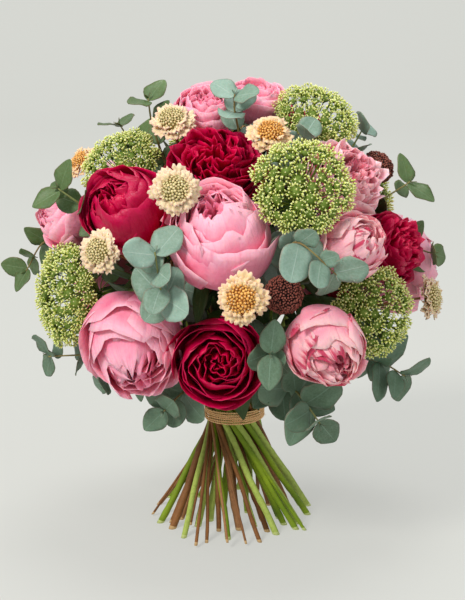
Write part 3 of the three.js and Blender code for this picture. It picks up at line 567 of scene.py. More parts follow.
def petalMaterial(look):
    colours = petalLooks[look]
    finish = petalFinish["dark" if look == "magenta" else "pale"]
    sh = Shader("petal " + look, 0.5, finish["specular"], 0.0, finish["glow"])
    sh.ramp((0.08, colours["foot"]), (0.5, colours["body"]), (0.84, colours["body"]), (1.0, colours["rim"]))
    # Inner layers take the heart colour: partly their deeper tone, partly painted light in the shaded
    # opening.
    sh.over(sh.layer, finish["heartFrom"], 0.95, 0.85, colours["heart"])
    if look != "streaked":
        veins = sh.noise(1.6, 4, 0.6, sh.markPlace(9, 0.9, 40))
        sh.over(veins, 0.52, 0.68, colours["streaks"], colours["streak"])
    cloud = sh.noise(60)
    sh.over(cloud, 0.35, 0.75, finish["clouds"], colours["rim"])
    sh.over(sh.tint, 0, 1, 0.3, colours[finish["varied"]])
    if look == "streaked":
        # flames that come in from the edges of some petals
        edges = sh.spread(sh.math("MAXIMUM", sh.along, sh.math("ABSOLUTE", sh.across)), 0.66, 1.0)
        some = sh.spread(sh.tint, 0.5, 0.8, 0.0, 0.24)
        patches = sh.noise(1.5, 5, 0.65, sh.markPlace(2.6, 0.9, 40))
        flames = sh.math("ADD", patches, sh.times(edges, some))
        sh.over(flames, 0.62, 0.76, colours["streaks"], colours["streak"])
    sh.put(sh.spread(cloud, 0.3, 0.7, *finish["gloss"]), sh.inputs["Roughness"])
    creases = sh.noise(1.5, 4, 0.6, sh.markPlace(13, 1.6, 25))
    return sh.finish(sh.math("ADD", creases, sh.times(sh.noise(170, 2), 1.3)), 0.5, 0.0014)


petalMaterials = {look: petalMaterial(look) for look in petalLooks}
for head in headsOf(*bloomLayers):
    makePeony(head, petalMaterials[head["look"]])
print("peonies done")

# Umbels are rays that carry small domes of florets. Lengths are shares of the head's width.
umbelStyle = {
    "rays": 52, "florets": 26, "farFlorets": 18, "reach": 0.45, "rise": 0.53, "edge": 0.33, "hollow": 0.03,
    "turn": 1.54, "umbellet": 0.065, "dome": 0.062, "domeTurn": 1.7, "grain": 0.0084, "floret": 0.018,
    "floretLift": 0.014, "flowering": 0.36, "rayRadius": 0.0065, "stalkRadius": 0.003, "stalkless": 0.5,
    "stalkDrop": 0.065, "cup": 0.062, "cupDrop": 0.072, "bracts": 12,
}


def umbelPlaces(rng):
    style = umbelStyle
    radius, turn = sunflower(style["rays"])
    turn = turn + rng.uniform(-0.1, 0.1, len(turn)) + rng.uniform(0, 6)
    reach = style["reach"] * np.sin(radius * style["turn"]) * rng.uniform(0.96, 1.04, len(radius))
    level = style["edge"] + (style["rise"] - style["edge"]) * np.cos(radius * style["turn"])
    level -= style["hollow"] * np.exp(-(radius / 0.28) ** 2)
    level += rng.uniform(-1, 1, len(radius)) * (0.01 + 0.022 * radius ** 3)
    places = polar(reach, turn, level)
    return places, units(places - [0, 0, 0.2])


def makeUmbel(head, materials):
    style = umbelStyle
    rng = np.random.default_rng(200 + head["seed"])
    width, axes = head["width"], head["axes"]
    bag = newBag()
    places, ways = umbelPlaces(rng)
    star = starShape(5, 0.24, 0.25, 0.1)
    grain = budShape(3, 3.8, 0.6)
    florets = style["farFlorets" if head["far"] else "florets"]
    bulk = math.sqrt(style["florets"] / florets)
    radius, turn = sunflower(florets)
    outer = radius > style["stalkless"]
    addCopies(bag, budShape(7, 1.0, 0.4), placed(places - ways * style["cupDrop"], head), ways @ axes,
              style["cup"] * width, 0, 1, rng.uniform(0, 1, len(places)), 1)
    for place, way in zip(places, ways):
        bowed = place * [[0, 0, 0], [0.42, 0.42, 0.36], [0.84, 0.84, 0.8]]
        route = np.array([*bowed, place - way * 0.06])
        marks = marksOf((4,), np.linspace(0, 1, 4), 0, 0, rng.uniform())
        addTube(bag, placed(route, head), style["rayRadius"] * width, 4, marks, 1)
        spread = style["umbellet"] * rng.uniform(0.92, 1.1)
        spread *= 1.1 - 0.28 * (math.hypot(*place[:2]) / style["reach"]) ** 3
        turned = framesFor(way[None], rng.uniform(0, 6))[0]
        dome = radius * style["domeTurn"]
        flat = polar(spread * np.sin(dome), turn, style["dome"] * (np.cos(dome) - 0.5))
        flat *= rng.uniform(0.85, 1.12, (florets, 1))
        tips = placed(place + flat @ turned, head)
        facings = (flat + [0, 0, 0.06]) @ turned @ axes
        marks = marksOf((outer.sum(),), 1, 0, 0, rng.uniform(size=outer.sum()))
        roots = np.repeat(placed((place - way * style["stalkDrop"])[None], head), outer.sum(), axis=0)
        addBars(bag, roots, tips[outer], style["stalkRadius"] * width, marks, 1)
        sizes = width * bulk * rng.uniform(0.8, 1.25, florets)
        spins, tints = rng.uniform(0, 6, florets), rng.uniform(0, 1, florets)
        addCopies(bag, grain, tips, facings, sizes * style["grain"], spins, radius, tints)
        blown = rng.uniform(size=florets) < style["flowering"]
        lifted = tips + units(facings) * sizes[:, None] * style["floretLift"]
        addCopies(bag, star, lifted[blown], facings[blown], sizes[blown] * style["floret"], spins[blown],
                  radius[blown], tints[blown])
    for k in range(style["bracts"]):
        way = polar(1, (k + 0.3 * rng.uniform(-1, 1)) * 2 * math.pi / style["bracts"])
        route = np.array([[0, 0, 0], way * 0.1 + [0, 0, 0.01], way * 0.2 + [0, 0, -0.015]])
        addTube(bag, placed(route, head), vector(0.006, 0.005, 0.002) * width, 3, marksOf((3,), 0.3), 1)
    makeObject(head["name"] + "_florets", bag, materials, head["name"])


def umbelMaterials():
    sh = Shader("umbel floret", 0.75, 0.2, 0.0, 0.08)
    sh.ramp((0.0, lin(150, 172, 40)), (0.4, lin(202, 214, 86)), (0.75, lin(238, 242, 146)),
            (1.0, lin(254, 254, 210)))
    sh.over(sh.noise(55, 2), 0.4, 0.7, 0.3, lin(196, 210, 76))
    sh.over(sh.tint, 0.55, 1.0, 0.4, lin(244, 244, 168))
    ray = Shader("umbel ray", 0.6, 0.3)
    ray.ramp((0.0, lin(108, 134, 36)), (1.0, lin(150, 174, 62)))
    ray.over(ray.tint, 0, 1, 0.4, lin(122, 146, 42))
    ray.over(ray.layer, 0, 1, 0.7, lin(76, 100, 34))
    return [sh.finish(sh.noise(1400, 2), 0.3, 0.0004), ray.finish(ray.noise(900, 2), 0.25, 0.0004)]


umbelSet = umbelMaterials()
for head in headsOf("umbel"):
    makeUmbel(head, umbelSet)
print("umbels done")

# Scabious are rows of lobed petals round a cushion of buds and pins.
scabiousStyle = {
    # petals, where they start, how far they reach, foot height, rim height, half width in degrees
    "rows": [
        (10, 0.16, 0.50, 0.12, 0.16, 16),
        (9, 0.15, 0.43, 0.16, 0.24, 16),
        (9, 0.14, 0.37, 0.19, 0.30, 16),
    ],
    "grid": (6, 11), "buds": 80, "cushion": 0.25, "cushionFoot": 0.2, "cushionTop": 0.37, "budSize": 0.026,
    "pins": 30, "pinLength": 0.07, "pinRadius": 0.0045, "pinHead": 0.012, "thickness": 0.4,
}


def scabiousPetal(row, azimuth, rng):
    _, start, reach, low, high, halfTurn = row
    rows, cols = scabiousStyle["grid"]
    s = np.linspace(0, 1, rows)[:, None]
    t = np.linspace(-1, 1, cols)[None, :]
    dips = 1 - np.abs(np.cos(1.5 * math.pi * (t + rng.uniform(-0.12, 0.12))))
    lobes = 1 - 0.2 * dips - 0.16 * np.abs(t) ** 2
    out = start + (reach * rng.uniform(0.84, 1.04) - start) * s * (1 + (lobes - 1) * s)
    wave = 0.026 * s ** 1.5 * np.sin(6.3 * t + rng.uniform(0, 6))
    wave = wave + 0.014 * s * np.sin(13 * t + rng.uniform(0, 6))
    bend = low + (high - low) * np.sin(s * math.pi * 0.62) + 0.05 * rng.uniform(-1, 1) * s + wave
    bend = bend + 0.04 * rng.uniform(-1, 1) * s * t
    fan = math.radians(halfTurn * rng.uniform(0.8, 1.2)) * (0.45 + 0.9 * s ** 1.3)
    return polar(out, azimuth + t * fan, bend), s + 0 * t, t + 0 * s


def makeScabious(head, materials):
    style = scabiousStyle
    rng = np.random.default_rng(300 + head["seed"])
    bag = newBag()
    width, buds, pins = head["width"], style["buds"], style["pins"]
    for depth, row in enumerate(style["rows"]):
        first = rng.uniform(0, 6)
        for k in range(row[0]):
            azimuth = first + (k + 0.3 * rng.uniform(-1, 1)) * 2 * math.pi / row[0]
            grid, along, across = scabiousPetal(row, azimuth, rng)
            marks = marksOf(along.shape, along, across, depth / 2, rng.uniform())
            addSheet(bag, placed(grid, head), style["thickness"], marks)
    radius, turn = sunflower(buds)
    rise = (style["cushionTop"] - style["cushionFoot"]) * np.sqrt(1 - 0.9 * radius ** 2)
    places = polar(style["cushion"] * radius, turn, style["cushionFoot"] + rise)
    ways = (places - [0, 0, 0.12]) @ head["axes"]
    sizes = style["budSize"] * width * rng.uniform(0.8, 1.2, buds)
    addCopies(bag, budShape(5, 1.5, 0.6), placed(places, head), ways, sizes, rng.uniform(0, 6, buds),
              radius, rng.uniform(0, 1, buds), 1)
    cups = rng.uniform(size=buds) < 0.3 + 0.6 * radius
    addCopies(bag, starShape(4, 0.42, -0.2, 0.6), placed(places[cups] * [1.04, 1.04, 1.06], head),
              ways[cups] + rng.uniform(-3, 3, (cups.sum(), 3)), sizes[cups] * 1.5,
              rng.uniform(0, 6, cups.sum()), radius[cups], rng.uniform(0, 1, cups.sum()), 1)
    # The core knob takes the bud material's darkest colour, painted shade under the buds.
    knob = np.linspace(0, 1, 7)
    core = [0, 0, 0.15] + knob[:, None] * [0, 0, style["cushionTop"] - 0.17]
    addTube(bag, placed(core, head), style["cushion"] * 0.9 * width * np.sqrt(1 - (knob * 0.98) ** 4), 14,
            marksOf((7,)), 1)
    feet = places[rng.choice(buds, pins, replace=False)]
    local = units(feet - [0, 0, 0.05]) + rng.uniform(-0.25, 0.25, (pins, 3))
    tips = feet + local * style["pinLength"] * rng.uniform(0.7, 1.1, (pins, 1))
    starts, ends = placed(feet, head), placed(tips, head)
    addBars(bag, starts, ends, style["pinRadius"] * width, marksOf((pins,), 0.9))
    addCopies(bag, budShape(4, 1.0, 0.7), ends, ends - starts, style["pinHead"] * width, 0, 0,
              rng.uniform(0, 1, pins))
    makeObject(head["name"] + "_florets", bag, materials, head["name"])


# The gap colour is a darker bud colour, painted shade between the buds.
scabiousLooks = {
    "cream": {"foot": lin(200, 180, 112), "body": lin(244, 220, 178), "rim": lin(242, 206, 186),
              "bud": lin(206, 190, 124), "budTip": lin(244, 226, 176), "gapShade": lin(146, 130, 66)},
    "apricot": {"foot": lin(228, 168, 92), "body": lin(244, 214, 160), "rim": lin(244, 206, 180),
                "bud": lin(226, 154, 66), "budTip": lin(252, 198, 112), "gapShade": lin(172, 106, 38)},
}


def scabiousMaterials(look):
    colours = scabiousLooks[look]
    sh = Shader("scabious petal " + look, 0.7, 0.2, 0.05, 0.12)
    sh.ramp((0.0, colours["foot"]), (0.45, colours["body"]), (0.85, colours["body"]), (1.0, colours["rim"]))
    veins = sh.noise(1.5, 3, 0.55, sh.markPlace(9, 0.8, 30))
    sh.over(veins, 0.5, 0.75, 0.35, colours["foot"])
    sh.over(sh.tint, 0, 1, 0.3, colours["rim"])
    bud = Shader("scabious bud " + look, 0.7, 0.2, 0.05, 0.08)
    # Bud feet darken to the gap colour: painted shade in the gaps between the buds.
    bud.ramp((0.0, colours["gapShade"]), (0.4, colours["bud"]), (1.0, colours["budTip"]))
    bud.over(bud.tint, 0, 1, 0.4, colours["bud"])
    return [sh.finish(veins, 0.3, 0.0008), bud.finish(bud.noise(1200, 2), 0.3, 0.0004)]


scabiousSets = {look: scabiousMaterials(look) for look in scabiousLooks}
for head in headsOf("scab"):
    makeScabious(head, scabiousSets[head["look"]])
print("scabious done")

# Brown heads are bracts packed on a knob.
brownStyle = {"bracts": 520, "radius": 0.46, "height": 0.62, "size": 0.03}
knobSide = [(0.12, 0), (0.34, 0.1), (0.42, 0.3), (0.33, 0.48), (0.14, 0.57)]      # radius, height


def makeBrownHead(head, material):
    style = brownStyle
    rng = np.random.default_rng(400 + head["seed"])
    count = style["bracts"]
    k = np.arange(count) + 0.5
    fall = np.arccos(1 - 1.75 * k / count)
    ways = polar(np.sin(fall), k * goldenTurn, np.cos(fall))
    half = style["height"] / 2
    places = ways * [style["radius"], style["radius"], half] + [0, 0, half * 0.98]
    places *= rng.uniform(0.95, 1.03, (count, 1))
    bag = newBag()
    addCopies(bag, budShape(4, 2.1, 0.8), placed(places * [0.93, 0.93, 1], head),
              ways @ head["axes"] + rng.uniform(-0.4, 0.4, (count, 3)),
              style["size"] * head["width"] * rng.uniform(0.8, 1.2, count), rng.uniform(0, 6, count),
              fall / math.pi, rng.uniform(0, 1, count))
    radii, heights = np.array(knobSide).T
    core = heights[:, None] * [0, 0, 1]
    addTube(bag, placed(core, head), radii * head["width"], 14, marksOf((len(core),)))
    makeObject(head["name"] + "_bracts", bag, [material], head["name"])


def bractMaterial():
    sh = Shader("brown bract", 0.8, 0.2, 0.1)
    sh.ramp((0.0, lin(40, 16, 10)), (0.5, lin(100, 46, 34)), (1.0, lin(172, 104, 88)))
    sh.over(sh.tint, 0, 1, 0.5, lin(118, 50, 40))
    return sh.finish(sh.noise(1500, 3), 0.4, 0.0005)


brownMaterial = bractMaterial()
for head in headsOf("brown"):
    makeBrownHead(head, brownMaterial)
print("brown heads done")

# Blades, shared by the eucalyptus and the flower stems' own leaves.
leafStyle = {
    "widthShare": 0.8, "lean": 66, "turn": 74, "taper": 0.9, "cup": 0.08, "droop": 0.1, "tilt": 0.4,
    "setBack": 3, "offset": 0.5,
}
stemLeafStyle = {"widthShare": 0.34, "cup": 0.1, "droop": 0.16}
toTheFront = np.array([0, -1.6, 0.5])
testPlaces = [(0.3, 0.9), (0.3, -0.9), (0.5, 1), (0.5, 0), (0.5, -1), (0.8, 0.7), (0.8, -0.7), (1, 0)]
roomMargin = 1.6
bends = [(0, 1), (0.3, 1), (0.6, 1), (1, 0.9), (1.5, 0.8), (2.2, 0.7)]     # outward pull, share of length


def makeBlade(base, rise, facing, length, half, style):
    return {"base": base, "axes": np.array([np.cross(rise, facing), rise, facing]), "length": length,
            "half": half, "style": style}


def bladePoint(blade, along, across):
    style, length, half = blade["style"], blade["length"], blade["half"]
    side, rise, facing = blade["axes"]
    fold = style["cup"] * half * across * across - style["droop"] * length * along * along
    return blade["base"] + along * length * facing + across * half * side + fold * rise


def isClear(blade, rooms):
    for along, across in testPlaces:
        point = bladePoint(blade, along, across)
        for room in rooms:
            shares = room["axes"] @ (point - room["centre"]) / (room["half"] + roomMargin)
            if shares @ shares < 1:
                return False
    return True


# A blade bent outward until nothing stands in its way, or nothing if it can't be.
def freeBlade(base, heading, look, length, style, rooms):
    outward = unit(base - domeCentre)
    for pull, scale in bends:
        facing = unit(heading + outward * pull)
        size = length * scale
        blade = makeBlade(base, squareTo(look, facing), facing, size, size * style["widthShare"] / 2, style)
        if isClear(blade, rooms):
            return blade
    return None


def bladeRoom(blade):
    half = np.array([blade["half"] + 1, 5, blade["length"] / 2 + 1])
    return {"centre": bladePoint(blade, 0.5, 0), "axes": blade["axes"], "half": half}


# The leaf pairs at the points of a branch.
def branchLeaves(points, roll, front, leafLength, rooms):
    style = leafStyle
    lean = math.radians(style["lean"])
    last = len(points) - 1
    blades = []
    for i in range(1, len(points)):
        along = unit(points[min(i + 1, last)] - points[i - 1])
        u = squareTo(vector(0, 0, 1) if abs(along[2]) < 0.85 else vector(0, -1, 0), along)
        v = np.cross(along, u)
        step = points[i - 1] - points[i]
        node = points[i] + step * style["setBack"] / np.linalg.norm(step)
        look = unit(points[i] - domeCentre) + along * style["tilt"] + toTheFront * front
        size = leafLength * (style["taper"] if i == last else 1)
        for half in (0, 180):
            turn = math.radians(roll + style["turn"] * (i - 1) + half)
            heading = along * math.cos(lean) + (u * math.cos(turn) + v * math.sin(turn)) * math.sin(lean)
            blade = freeBlade(node + heading * style["offset"], heading, look, size, style, rooms)
            if blade:
                blades.append(blade)
    return blades


# A leaf as a thin sheet. outline gives the half width along it, and ripples give it life.
def addBlade(bag, blade, outline, finish, rng):
    rows, cols = finish["grid"]
    x = 0.5 - 0.5 * np.cos(np.linspace(0.02, 0.985, rows) * math.pi)[:, None]
    t = np.linspace(-1, 1, cols)[None, :]
    across = t * outline(x)
    style, length, half, wave = blade["style"], blade["length"], blade["half"], finish["wave"]
    side, rise, facing = blade["axes"]
    lift = style["cup"] * half * across ** 2 - style["droop"] * length * x ** 2
    ripple = np.sin(x * rng.uniform(6, 10) + rng.uniform(0, 6) + 1.5 * np.sign(t))
    lift = lift + wave * half * (np.abs(across) ** 2 * ripple + 0.6 * rng.uniform(-1, 1) * across * x)
    lift = lift + wave * length * 0.25 * rng.uniform(-1, 1) * np.sin(x * math.pi)
    lift = lift - 0.035 * half * np.exp(-(t / 0.16) ** 2)
    grid = (blade["base"] + (x * length)[..., None] * facing + (across * half)[..., None] * side
            + lift[..., None] * rise)
    addSheet(bag, grid, finish["thickness"], marksOf((rows, cols), x, t, rng.uniform(), rng.uniform()))


def roundLeaf(x):
    return 0.05 + 1.05 * np.maximum(0, 1 - np.abs(2 * x ** 0.92 - 1.0) ** 2.2) ** 0.58


def pointedLeaf(x):
    return 0.04 + 0.88 * np.sin(math.pi * x ** 0.8) ** 0.72


def lanceLeaf(x):
    return 0.06 + 0.94 * np.sin(math.pi * np.clip(x, 0, 1) ** 0.8) ** 0.9 * (1 - 0.25 * x)


# The eucalyptus: how much a spray's blades look to the front, leaf length, tone, branches of (roll, points)
sprays = [
    (0.8, 34, "olive", [
        (70, [(-64, 20, 356), (-80, 8, 408), (-84, 0, 437)]),
        (10, [(-64, 20, 356), (-98, 46, 380), (-116, 54, 404)])]),
    (0.8, 34, "olive", [(20, [(-90, -30, 300), (-124, -46, 326), (-146, -70, 346), (-166, -76, 362)])]),
    (0.8, 32, "olive", [(80, [(-100, 20, 250), (-152, 22, 276), (-188, 16, 292), (-208, 4, 264)])]),
    (0.6, 34, "deep", [
        (0, [(-60, -6, 180), (-110, -24, 184), (-150, -36, 188), (-184, -34, 186)]),
        (30, [(-60, -6, 180), (-98, -8, 166), (-130, -18, 154)])]),
    (0.6, 36, "deep", [(60, [(-30, -44, 168), (-52, -76, 160), (-68, -100, 150)])]),
    (0.3, 37, "grey", [(160, [(-40, -50, 250), (-57, -100, 275), (-65, -152, 275), (-72, -154, 318)])]),
    (0.3, 37, "grey", [(70, [(28, -60, 268), (46, -112, 306), (58, -162, 328), (92, -160, 298)])]),
    (0.2, 37, "deep", [(100, [(20, -68, 204), (28, -110, 214), (33, -168, 226)])]),
    (0.6, 42, "deep", [(80, [(30, -46, 168), (54, -92, 172), (68, -124, 164), (80, -138, 150)])]),
    (0.7, 41, "deep", [
        (60, [(62, -4, 180), (110, -40, 190), (144, -58, 186), (166, -62, 174)]),
        (30, [(62, -4, 180), (106, 26, 186), (142, 34, 184)])]),
    (0.8, 35, "olive", [
        (80, [(104, -2, 280), (138, -4, 330), (172, -6, 356)]),
        (0, [(104, -2, 280), (166, -6, 290), (196, -16, 286)])]),
    (0.6, 30, "grey", [
        (80, [(78, 4, 330), (114, 34, 378), (128, 36, 402)]),
        (90, [(78, 4, 330), (58, -48, 384), (66, -60, 410)])]),
    (0.7, 30, "grey", [(90, [(0, -14, 356), (4, -22, 402), (0, -34, 430), (0, -38, 446)])]),
    (0, 36, "olive", [(20, [(-64, 60, 270), (-100, 104, 304), (-120, 136, 330)])]),
    (0, 36, "deep", [(20, [(60, 62, 258), (92, 100, 282), (114, 134, 296), (132, 152, 312)])]),
    (0, 34, "olive", [(40, [(12, 56, 350), (18, 76, 396), (22, 88, 424)])]),
    (0, 36, "deep", [(60, [(-16, 50, 168), (-34, 92, 168), (-52, 124, 162), (-62, 140, 150)])]),
    (0, 36, "deep", [(60, [(36, 40, 168), (70, 78, 168), (96, 104, 160), (110, 118, 148)])]),
]
eucalyptusStyle = {
    "base": 1.35, "tip": 0.7, "sides": 8, "young": (7, 0.42), "middleRoll": 24, "middleShare": 0.86,
    "middleFront": 1.8, "middleSteps": (4, 2), "routeSteps": 6, "roundShare": 0.4,
}
sprayLeaf = {"grid": (11, 7), "thickness": 0.5, "wave": 0.15}
youngLeaf = {**sprayLeaf, "grid": (7, 5)}


# A smooth way through the given points.
def smoothRoute(points, steps):
    ends = [2 * points[0] - points[1], *points, 2 * points[-1] - points[-2]]
    route = []
    for a, b, c, d in zip(ends, ends[1:], ends[2:], ends[3:]):
        for t in np.arange(steps) / steps:
            route.append(0.5 * (2 * b + (c - a) * t + (2 * a - 5 * b + 4 * c - d) * t ** 2
                                + (3 * b - a - 3 * c + d) * t ** 3))
    return np.array(route + [points[-1]])


def makeSprayPlan(number, row):
    front, leafLength, look, branches = row
    branches = [(roll, np.array(points, float)) for roll, points in branches]
    ways = [smoothRoute(points, eucalyptusStyle["routeSteps"]) for _, points in branches]
    return {"name": f"eucalyptus_{number + 1:02d}", "seed": number, "front": front, "leafLength": leafLength,
            "look": look, "branches": branches, "ways": ways, "kind": "spray", "foot": branches[0][1][0],
            "heading": unit(sum(unit(points[1] - points[0]) for _, points in branches))}


# The leaf pairs of a spray's own form.
def mainLeaves(spray, rooms):
    return [blade for roll, points in spray["branches"]
            for blade in branchLeaves(points, roll, spray["front"], spray["leafLength"], rooms)]


# Smaller pairs between them, where there is room.
def middleLeaves(spray, rooms):
    style = eucalyptusStyle
    blades = []
    for (roll, _), way in zip(spray["branches"], spray["ways"]):
        for first in style["middleSteps"]:
            points = [way[0], *way[first::style["routeSteps"]]]
            pairs = branchLeaves(points, roll + style["middleRoll"] * first,
                                 spray["front"] * style["middleFront"],
                                 spray["leafLength"] * style["middleShare"], rooms)
            rooms += [bladeRoom(blade) for blade in pairs]
            blades += pairs
    return blades


def makeSpray(spray, blades, materials):
    style = eucalyptusStyle
    name, look = spray["name"], spray["look"]
    rng = np.random.default_rng(500 + spray["seed"])
    bag = newBag()
    for (_, points), way in zip(spray["branches"], spray["ways"]):
        count = len(way)
        marks = marksOf((count,), np.linspace(0, 1, count), 0, 0, rng.uniform())
        addTube(bag, way, np.linspace(style["base"], style["tip"], count), style["sides"], marks, 1)
        length, share = style["young"]
        along = unit(points[-1] - points[-2])
        for side in (-1, 1):
            heading = unit(along + side * 0.5 * squareTo(vector(0.3, 0.1, 1), along))
            rise = squareTo(unit(points[-1] - domeCentre) + along, heading)
            young = makeBlade(way[-1] - along * 0.5, rise, heading, length, length * share / 2, leafStyle)
            addBlade(bag, young, pointedLeaf, youngLeaf, rng)
    for blade in blades:
        isRound = look == "grey" or look == "deep" and rng.uniform() < style["roundShare"]
        addBlade(bag, blade, roundLeaf if isRound else pointedLeaf, sprayLeaf, rng)
    makeObject(name + "_spray", bag, [materials[look], materials["twig"]], name)


# tones are the first, the patches and the varied leaves; bloom is the pale dust and the veins.
def leafMaterial(name, tones, edge, bloom, gloss):
    sh = Shader(name, gloss, 0.35, 0.0, 0.05)
    patch = sh.noise(45)
    sh.mix(sh.spread(patch, 0.3, 0.7), tones[0], tones[1])
    sh.over(sh.layer, 0, 1, 0.75, tones[2])
    sh.over(sh.tint, 0.5, 1, 0.45, tones[0])
    sideways = sh.math("ABSOLUTE", sh.across)
    run = sh.math("SUBTRACT", sh.times(sh.along, 9.0), sh.times(sideways, 3.2))
    wave = sh.math("ABSOLUTE", sh.math("SINE", sh.times(run, math.pi)))
    sideVeins = sh.times(sh.spread(wave, 0.0, 0.14, 1.0, 0.0), 0.35)
    veins = sh.math("MAXIMUM", sideVeins, sh.spread(sideways, 0.01, 0.05, 1.0, 0.0))
    sh.mix(sh.times(veins, 0.4), sh.body, bloom)
    powder = sh.noise(420, 4, 0.7)
    sh.over(powder, 0.4, 0.75, 0.28, bloom)
    sh.over(sideways, 0.9, 1.0, 0.5, edge)
    sh.put(sh.spread(patch, 0.3, 0.7, gloss - 0.08, gloss + 0.1), sh.inputs["Roughness"])
    return sh.finish(sh.math("SUBTRACT", sh.times(powder, 0.3), veins), 0.3, 0.0006)


# tones are the first, the patches, the varied stems and the grain; cut is the fresh end.
def twigMaterial(name, tones, cut):
    sh = Shader(name, 0.65, 0.3)
    sh.mix(sh.spread(sh.noise(28, 2), 0.35, 0.7), tones[0], tones[1])
    sh.over(sh.tint, 0.35, 1, 0.85, tones[2])
    grain = sh.noise(260, 4, 0.7)
    sh.over(grain, 0.45, 0.7, 0.4, tones[3])
    sh.over(sh.layer, 0.45, 0.55, 1.0, cut)
    return sh.finish(grain, 0.4, 0.0006)


eucalyptusMaterials = {
    "grey": leafMaterial("grey eucalyptus leaf", [lin(146, 174, 158), lin(120, 150, 134), lin(98, 126, 102)],
                         lin(150, 120, 104), lin(184, 206, 194), 0.5),
    "deep": leafMaterial("deep eucalyptus leaf", [lin(104, 132, 106), lin(86, 112, 88), lin(66, 88, 62)],
                         lin(118, 96, 76), lin(136, 166, 146), 0.48),
    "olive": leafMaterial("olive eucalyptus leaf", [lin(92, 116, 64), lin(76, 100, 56), lin(58, 80, 44)],
                          lin(120, 90, 60), lin(126, 150, 112), 0.46),
    "twig": twigMaterial("eucalyptus twig", [lin(150, 140, 84), lin(126, 104, 66), lin(128, 142, 84),
                                             lin(110, 84, 56)], lin(190, 180, 130)),
}
rooms = [room for head in allHeads for room in head["rooms"]]
allSprays = [makeSprayPlan(i, row) for i, row in enumerate(sprays)]
leavesOf = []
for spray in allSprays:
    leavesOf.append(mainLeaves(spray, rooms))
    rooms += [bladeRoom(blade) for blade in leavesOf[-1]]
for spray, leaves in zip(allSprays, leavesOf):
    makeSpray(spray, leaves + middleLeaves(spray, rooms), eucalyptusMaterials)
print("eucalyptus done")

# The stems: each carried thing has a place in the neck, in one of the rings.
neckRings = [(23.3, 20), (17, 14), (10.6, 7), (4, 2)]          # radius, stems
spiral = {"lean": 0.0281, "spread": 0.2, "shift": 0.3, "heightCounts": 0.35}
stemWidth = {"globe": 6.6, "rose": 6.6, "open": 6.6, "umbel": 5.4, "scab": 4, "brown": 4.2, "spray": 5}
widthSpread = 0.3
upperStem = {"share": 0.62, "leave": 0.36, "arrive": 0.34, "gapShade": 0.3}
shortStems = {"every": 3, "lift": 2.4}
branchOf = {
    "umbel_03": "umbel_02", "umbel_08": "umbel_01", "umbel_07": "umbel_05",
    "scabious_02": "scabious_03", "scabious_06": "scabious_01", "scabious_09": "scabious_08",
    "brown_head_01": "scabious_04", "eucalyptus_13": "eucalyptus_01", "eucalyptus_03": "eucalyptus_02",
    "eucalyptus_05": "eucalyptus_04", "eucalyptus_08": "eucalyptus_06", "eucalyptus_09": "eucalyptus_10",
    "eucalyptus_12": "eucalyptus_11", "eucalyptus_16": "eucalyptus_14", "eucalyptus_18": "eucalyptus_15",
}
stemStyle = {
    "sides": 8, "lowSteps": 26, "highSteps": 28, "forkSteps": 20, "nodeEvery": 34, "nodeLength": 0.06,
    "nodeSwell": 0.16, "sway": 1.0, "woodyKinds": ("spray", "brown", "scab"), "woodyShare": 0.22,
}
thinStems = {
    "count": 18, "width": 2.8, "spread": 2.0, "high": 150, "radii": (16, 24.8), "steps": 30,
    "woodyShare": 0.75,
}


def meanAngle(angles):
    return math.atan2(sum(math.sin(a) for a in angles), sum(math.cos(a) for a in angles))


# The outer rings take what stands furthest out.
def neckPlaces(rooted):
    order = sorted(rooted, key=lambda c: spiral["heightCounts"] * (c["foot"][2] - tieRing["middle"])
                   - math.hypot(c["foot"][0], c["foot"][1]))
    places, first = {}, 0
    for radius, size in neckRings:
        azimuth = {c["name"]: math.atan2(c["foot"][1], c["foot"][0]) + math.pi / 2
                   for c in order[first:first + size]}
        ring = sorted(azimuth, key=azimuth.get)
        first += size
        step = 2 * math.pi / len(ring)
        mean = meanAngle([azimuth[name] - i * step for i, name in enumerate(ring)])
        for i, name in enumerate(ring):
            turn = (i + spiral["shift"] * (draw(i, radius) - 0.5)) * step
            places[name] = (radius, mean + turn, 1 + spiral["spread"] * (draw(i + 9, radius) - 0.5))
    return places


def spiralPoint(place, z):
    radius, angle, spread = place
    lean = spiral["lean"] * spread * radius * (z - tieRing["middle"])
    return np.array([radius * math.cos(angle) + lean * math.sin(angle),
                     radius * math.sin(angle) - lean * math.cos(angle), z])


def spiralRoute(place, low, high, steps):
    return np.array([spiralPoint(place, z) for z in np.linspace(low, high, steps)])


# Points of the bend from a start that already heads away to the foot of what is carried.
def bentRoute(start, away, item, shares):
    end = item["foot"] - item["heading"] * upperStem["gapShade"]
    span = np.linalg.norm(end - start)
    leaving = start + away * upperStem["leave"] * span
    arriving = end - item["heading"] * upperStem["arrive"] * span
    t = np.array(shares)[:, None]
    return ((1 - t) ** 3 * start + 3 * (1 - t) ** 2 * t * leaving + 3 * (1 - t) * t ** 2 * arriving
            + t ** 3 * end)


def addStem(bag, rng, route, thick, widths, woody, cut):
    lengths = np.concatenate([[0], np.cumsum(np.linalg.norm(np.diff(route, axis=0), axis=1))])
    beat = (lengths / stemStyle["nodeEvery"] + rng.uniform(0, 1)) % 1
    swell = np.exp(-((beat - 0.5) / stemStyle["nodeLength"]) ** 2) * stemStyle["nodeSwell"]
    swell = swell * (1.3 if woody else 0.7)
    marks = marksOf((len(route),), lengths / 400, swell, 0, rng.uniform())
    if cut:
        marks[0, 2] = 1
    addTube(bag["woody" if woody else "green"], route, thick / 2 * widths * (1 + swell), stemStyle["sides"],
            marks, level=cut)


